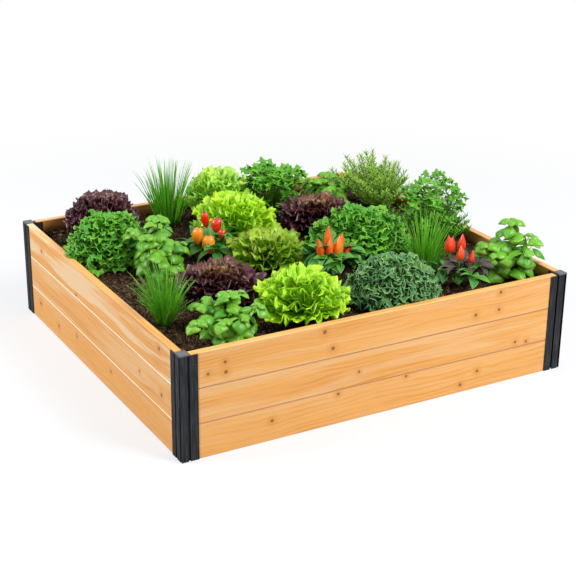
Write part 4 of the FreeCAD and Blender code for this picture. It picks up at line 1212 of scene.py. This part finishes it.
class GARDEN_OT_flat_herbs(bpy.types.Operator):
    """Model the flat parsleys"""
    bl_idname = "garden_bed.flat_herbs"
    bl_label = "Flat parsley"

    def execute(self, context):
        leaf = look().garden_leaf
        material = leaf_material("flat parsley leaf", surface_of_leaves(), leaf.parsley,
                                 (0.34, 0.66, 0.06), (0.26, 0.62, 0.05), leaf.stalk, 0.4, 0.5,
                                 24.0, 0.4)
        for name, (radius, stalks, size) in FLAT_HERBS.items():
            growth, seed = Growth(), random.Random(name)
            masters = [leaf_master(leaflet_form(seed), 5, 8, 0.02) for _ in range(4)]
            tall = node_height(name)
            if name == "parsley_flat_right":
                needle = leaf_master(needle_form(0.15), 3, 1, 0.05)
                feather(growth, seed, needle, 0.86 * tall, 46, 60, 0.050)
            for index in range(stalks):
                azimuth = GOLDEN_ANGLE * index
                share = math.sqrt((index + 0.5) / stalks)
                away = radius * share * seed.uniform(0.70, 1.05)
                high = tall * (1 - 0.30 * share ** 2) * (1 - 0.78 * seed.random() ** 1.6)
                side = Vector((math.cos(azimuth), math.sin(azimuth), 0))
                tip = side * away + Vector((0, 0, high))
                bend = side * away * 0.42 + Vector((0, 0, high * 0.62))
                growth.rod([side * 0.010 * share, bend, tip], (0.0014, 0.0011, 0.0008), 4, 0.3,
                           1.0)
                for turn, size_share in ((0.0, 1.15), (1.25, 0.95), (-1.25, 0.95), (2.4, 0.7),
                                         (-2.4, 0.7)):
                    matrix = leaf_matrix(tip, azimuth + turn, seed.uniform(-0.2, 0.8),
                                         seed.uniform(-0.5, 0.5), size * size_share
                                         * seed.uniform(0.85, 1.15))
                    growth.copy(seed.choice(masters), matrix, seed.uniform(-0.4, 0.4))
            growth.finish(name + "_bush", node_place(name), material, "green_leaf", name)
        return {"FINISHED"}


# --- peppers -------------------------------------------------------------------------------

def pepper_leaf_form(width):
    """A pepper leaf: a pointed oval with a soft wave, folded a little along its rib."""
    def form(along, across):
        blade = np.clip((along - 0.14) / 0.86, 0, 1)
        half = 0.5 * width * np.sin(math.pi * blade ** 0.8) ** 0.9
        half = np.maximum(half * (1 - 0.35 * blade ** 3), 0.008)
        out, high, heading = arch(along, 1.0, 0.5, 1.2)
        lift = 0.30 * half * np.abs(across) + 0.012 * np.sin(11 * along) * across
        return out - np.sin(heading) * lift, half * across, high + np.cos(heading) * lift

    return form


# Each pepper plant's radius, leaves, leaf length, and whether its leaves are purple.
PEPPERS = {"left": (0.086, 60, 0.062, 0.0), "middle": (0.104, 74, 0.066, 0.0),
           "right": (0.086, 76, 0.054, 1.0)}
# How high each plant's twigs end, as a share of its height.
LEAF_RISE = {"left": 0.46, "middle": 0.58, "right": 0.70}
# Each pepper: which plant, how far east and north of its middle, the height of its stalk's
# end over the soil, its length and width, how far it leans, its share of red, and whether
# it hangs.
PEPPER_FRUITS = (
    ("left", -0.048, -0.018, 0.113, 0.056, 0.034, 0.10, 0.05, True),
    ("left", -0.030, -0.047, 0.094, 0.062, 0.038, -0.06, 0.0, True),
    ("left", 0.018, -0.012, 0.130, 0.048, 0.032, 0.15, 0.95, True),
    ("left", -0.012, 0.018, 0.144, 0.054, 0.024, -0.15, 1.1, True),
    ("left", 0.022, -0.034, 0.100, 0.036, 0.022, 0.05, 1.1, True),
    ("middle", -0.050, -0.020, 0.070, 0.056, 0.026, -0.20, 0.70, False),
    ("middle", -0.030, -0.028, 0.072, 0.054, 0.026, 0.12, 0.55, False),
    ("middle", -0.020, -0.004, 0.090, 0.064, 0.026, 0.05, 0.60, False),
    ("middle", -0.004, -0.034, 0.066, 0.064, 0.034, 0.10, 0.30, False),
    ("middle", 0.010, -0.020, 0.074, 0.058, 0.024, 0.20, 0.55, False),
    ("middle", 0.020, -0.036, 0.066, 0.044, 0.018, 0.60, 0.95, False),
    ("right", -0.052, 0.006, 0.104, 0.054, 0.030, -0.10, 0.90, False),
    ("right", -0.036, 0.020, 0.096, 0.050, 0.024, 0.10, 1.0, False),
    ("right", 0.000, 0.022, 0.092, 0.056, 0.028, 0.08, 0.95, False),
    ("right", -0.030, -0.016, 0.084, 0.046, 0.028, 0.04, 0.80, False),
    ("right", 0.012, -0.010, 0.066, 0.040, 0.022, 0.20, 0.90, False),
)

FRUIT_STALK = (0.10, 0.26, 0.03, 1.0)


def fruit_material(leaf):
    """Glossy pepper skin that ripens from orange to red, with a green stalk."""
    material, tree, shader = new_material("pepper skin", 0.18, Coat_Weight=0.4,
                                          Coat_Roughness=0.08)
    tone = add_node(tree, "ShaderNodeAttribute", attribute_name="tone").outputs["Fac"]
    heart = add_node(tree, "ShaderNodeAttribute", attribute_name="heart").outputs["Fac"]
    place = add_node(tree, "ShaderNodeTexCoord").outputs["Object"]
    mottle = noise_value(tree, place, 90.0, 3.0)
    ripe = math_node(tree, "MULTIPLY_ADD", mottle, 0.3, math_node(tree, "SUBTRACT", tone, 0.15),
                     clamp=True)
    colour = mix_colour(tree, ripe, rgba(leaf.orange_fruit), rgba(leaf.red_fruit))
    colour = mix_colour(tree, heart, colour, FRUIT_STALK)
    tree.links.new(colour, shader.inputs["Base Color"])
    tree.links.new(math_node(tree, "MULTIPLY_ADD", mottle, 0.12, 0.14), shader.inputs["Roughness"])
    bump(tree, shader, mottle, 0.0008, 0.3)
    return material


def fruit_master(taper):
    """A pepper of unit length and width, its tip up, with three soft lobes."""
    deselect()
    bpy.ops.mesh.primitive_uv_sphere_add(segments=24, ring_count=16, radius=0.5,
                                         location=(0, 0, 0.5))
    fruit = bpy.context.object
    bpy.ops.object.transform_apply(location=True)
    for vertex in fruit.data.vertices:
        at = vertex.co
        angle = math.atan2(at.y, at.x)
        high = at.z
        shape = 1.10 - taper * high ** 1.5
        lobe = 1 + 0.09 * math.cos(3 * angle) * (0.3 + 0.7 * high)
        at.x *= shape * lobe
        at.y *= shape * lobe
        dimple = math.exp(-(at.x ** 2 + at.y ** 2) / 0.02)
        at.z += 0.07 * dimple if high < 0.5 else 0.0
        at.x += 0.06 * math.sin(3.0 * high)
    return Master(fruit)


class GARDEN_OT_peppers(bpy.types.Operator):
    """Model the pepper plants and their fruits"""
    bl_idname = "garden_bed.peppers"
    bl_label = "Peppers"

    def execute(self, context):
        leaf, group = look().garden_leaf, surface_of_leaves()
        green = leaf_material("pepper leaf", group, leaf.pepper_leaf, (0.22, 0.50, 0.08),
                              heart=leaf.purple_leaf, vein_share=0.4, rim_share=0.15,
                              vein_count=30.0, gloss=0.7)
        skin = fruit_material(leaf)
        masters = [leaf_master(pepper_leaf_form(width), 12, 8, 0.01) for width in (0.42, 0.50)]
        blunt, pointed = fruit_master(0.34), fruit_master(0.86)
        for which, (radius, leaves, size, purple) in PEPPERS.items():
            self.plant(which, radius, leaves, size, purple, masters, green)
            growth = Growth()
            for plant, east, north, high, long, wide, lean, red, hangs in PEPPER_FRUITS:
                if plant == which:
                    self.bear(growth, blunt if hangs else pointed, Vector((east, north, high)),
                              long, wide, lean + (math.pi if hangs else 0.0), red)
            place = node_place("pepper_plant_" + which)
            node = "pepper_fruits_" + which
            growth.finish(f"pepper_{which}_fruits", place, skin, "pepper_fruit", node)
        return {"FINISHED"}

    def plant(self, which, radius, leaves, size, purple, masters, material):
        """Stem, forks and leaves."""
        name = "pepper_plant_" + which
        growth, seed = Growth(), random.Random(name)
        tall = node_height(name)
        fork = Vector((0, 0, 0.34 * tall))
        growth.rod([(0, 0, 0), fork * 0.5, fork], (0.0040, 0.0034, 0.0030), 7, 0.2)
        tips = []
        for index in range(6):
            azimuth = 1.0472 * index + 0.3
            reach = radius * (0.42 if index % 2 else 0.78)
            tip = Vector((reach * math.cos(azimuth), reach * math.sin(azimuth),
                          tall * (LEAF_RISE[which] if index % 2 else 0.7 * LEAF_RISE[which])))
            growth.rod([fork, fork.lerp(tip, 0.5) + Vector((0, 0, 0.04 * tall)), tip],
                       (0.0026, 0.0020, 0.0014), 5, 0.2)
            tips.append(tip)
        for index in range(leaves):
            tip = tips[index % len(tips)]
            share = seed.uniform(0.25, 1.0)
            at = fork.lerp(tip, share) + Vector((0, 0, 0.03 * tall * share))
            azimuth = math.atan2(tip.y, tip.x) + seed.uniform(-1.7, 1.7)
            high_twig = tip.z > 0.85 * LEAF_RISE[which] * tall
            upper = purple if share > 0.35 and high_twig else 0.0
            matrix = leaf_matrix(at, azimuth, seed.uniform(-0.5, 0.8), seed.uniform(-0.5, 0.5),
                                 size * seed.uniform(0.75, 1.25))
            growth.copy(seed.choice(masters), matrix, seed.uniform(-0.35, 0.35), upper)
        growth.finish(name + "_bush", node_place(name), material, "green_leaf", name)

    def bear(self, growth, fruit, place, long, wide, lean, red):
        """One pepper on its stalk: it points up, or down where it hangs."""
        turn = Matrix.Rotation(lean, 4, "Y")
        along = turn @ Vector((0, 0, 1))
        growth.copy(fruit, Matrix.Translation(place) @ turn
                    @ Matrix.Diagonal((wide, wide, long, 1)), red)
        growth.rod([place - 0.026 * along, place - 0.010 * along, place - 0.001 * along,
                    place + 0.07 * long * along], (0.0016, 0.0016, 0.0030, 0.0052), 8, 0.0, 1.0)


# --- stage ---------------------------------------------------------------------------------

CAMERA_PLACE = Vector((-1.8688, -3.3436, 1.6846))
CAMERA_YAW = math.radians(29.482)
CAMERA_PITCH = math.radians(21.694)
CAMERA_ROLL = math.radians(0.553)
KEY_PLACE = (1.9, -3.4, 3.4)
RIM_PLACE = (-3.6, 1.2, 2.6)
LAMP_SIZE = 2.2
# The floor: its colour near the bed, how far off it fades to white, and how much of its light
# near the bed is its own.
FLOOR_COLOUR = (0.34, 0.35, 0.37, 1.0)
FLOOR_FADE = (0.9, 2.8)
FLOOR_GLOW = 0.60


def area_lamp(name, place, target, size, power):
    """A square lamp that shines from its place to its target."""
    lamp = bpy.data.lights.new(name, "AREA")
    lamp.size = size
    lamp.energy = power
    holder = bpy.data.objects.new(name, lamp)
    holder.location = place
    holder.rotation_euler = (Vector(target) - Vector(place)).to_track_quat("-Z", "Y").to_euler()
    bpy.context.scene.collection.objects.link(holder)


class GARDEN_OT_stage(bpy.types.Operator):
    """Set up the floor, the lamps and the camera"""
    bl_idname = "garden_bed.stage"
    bl_label = "Stage"

    def execute(self, context):
        stage = look().garden_stage
        self.camera(stage)
        self.world(stage)
        self.floor()
        area_lamp("key lamp", KEY_PLACE, (0, 0, 0.2), LAMP_SIZE, stage.key_power)
        area_lamp("rim lamp", RIM_PLACE, (-0.3, 0, 0.2), LAMP_SIZE, stage.rim_power)
        context.scene.view_settings.view_transform = "Standard"
        return {"FINISHED"}

    def camera(self, stage):
        """The photograph's viewpoint."""
        forward = Vector((math.sin(CAMERA_YAW) * math.cos(CAMERA_PITCH),
                          math.cos(CAMERA_YAW) * math.cos(CAMERA_PITCH),
                          -math.sin(CAMERA_PITCH)))
        level = forward.cross(Vector((0, 0, 1))).normalized()
        over = level.cross(forward)
        right = level * math.cos(CAMERA_ROLL) + over * math.sin(CAMERA_ROLL)
        top = over * math.cos(CAMERA_ROLL) - level * math.sin(CAMERA_ROLL)
        turn = Matrix((right, top, -forward)).transposed().to_4x4()
        lens = bpy.data.cameras.new("garden camera")
        lens.lens = stage.lens
        lens.sensor_width = 36.0
        holder = bpy.data.objects.new("garden camera", lens)
        holder.matrix_world = Matrix.Translation(CAMERA_PLACE) @ turn
        bpy.context.scene.collection.objects.link(holder)
        bpy.context.scene.camera = holder

    def world(self, stage):
        """Even light all round, and white where the camera or a reflection sees it."""
        world = bpy.data.worlds.new("studio")
        bpy.context.scene.world = world
        world.use_nodes = True
        tree = world.node_tree
        path = add_node(tree, "ShaderNodeLightPath").outputs
        seen = math_node(tree, "MAXIMUM", path["Is Camera Ray"], math_node(
            tree, "MAXIMUM", path["Is Glossy Ray"], path["Is Transmission Ray"]))
        strength = math_node(tree, "MULTIPLY_ADD", seen, 1.0 - stage.sky, stage.sky)
        back = tree.nodes["Background"]
        back.inputs["Color"].default_value = (1, 1, 1, 1)
        tree.links.new(strength, back.inputs["Strength"])

    def floor(self):
        """A white floor that keeps the bed's shadow."""
        deselect()
        bpy.ops.mesh.primitive_plane_add(size=24.0, location=(0, 0, -0.0005))
        ground = bpy.context.object
        ground.name = "studio_floor"
        material, tree, shader = new_material("studio floor", 1.0, Specular_IOR_Level=0.0)
        place = add_node(tree, "ShaderNodeTexCoord").outputs["Object"]
        away = add_node(tree, "ShaderNodeVectorMath", {0: place}, operation="LENGTH")
        fade = between(tree, away.outputs["Value"], *FLOOR_FADE)
        colour = mix_colour(tree, fade, FLOOR_COLOUR, (0.0, 0.0, 0.0, 1.0))
        tree.links.new(colour, shader.inputs["Base Color"])
        path = add_node(tree, "ShaderNodeLightPath").outputs
        glow = math_node(tree, "MULTIPLY_ADD", fade, 1.0 - FLOOR_GLOW, FLOOR_GLOW)
        lift = math_node(tree, "MULTIPLY", path["Is Camera Ray"], glow)
        shader.inputs["Emission Color"].default_value = (1, 1, 1, 1)
        tree.links.new(lift, shader.inputs["Emission Strength"])
        ground.data.materials.append(material)


# --- panel and registration ----------------------------------------------------------------

LOOKS = {"garden_timber": TimberLook, "garden_metal": MetalLook, "garden_soil": SoilLook,
         "garden_leaf": LeafLook, "garden_stage": StageLook}
STEPS = (GARDEN_OT_stage, GARDEN_OT_planks, GARDEN_OT_metal, GARDEN_OT_soil, GARDEN_OT_salads,
         GARDEN_OT_basils, GARDEN_OT_chives, GARDEN_OT_curled, GARDEN_OT_rosemary,
         GARDEN_OT_flat_herbs, GARDEN_OT_peppers)


class GARDEN_PT_bed(bpy.types.Panel):
    """Lists the pieces of the garden bed and their looks"""
    bl_label = "Garden bed"
    bl_idname = "GARDEN_PT_bed"
    bl_space_type = "VIEW_3D"
    bl_region_type = "UI"
    bl_category = "Garden bed"

    def draw(self, context):
        for step in STEPS:
            self.layout.operator(step.bl_idname)
        for name, group in LOOKS.items():
            box = self.layout.box()
            for setting in group.__annotations__:
                box.prop(getattr(context.scene, name), setting)


def register():
    for name, group in LOOKS.items():
        bpy.utils.register_class(group)
        setattr(bpy.types.Scene, name, PointerProperty(type=group))
    for step in STEPS:
        bpy.utils.register_class(step)
    bpy.utils.register_class(GARDEN_PT_bed)


def unregister():
    bpy.utils.unregister_class(GARDEN_PT_bed)
    for step in reversed(STEPS):
        bpy.utils.unregister_class(step)
    for name, group in LOOKS.items():
        delattr(bpy.types.Scene, name)
        bpy.utils.unregister_class(group)


def main():
    register()
    for step in STEPS:
        area, name = step.bl_idname.split(".")
        getattr(getattr(bpy.ops, area), name)()


if __name__ == "__main__":
    main()
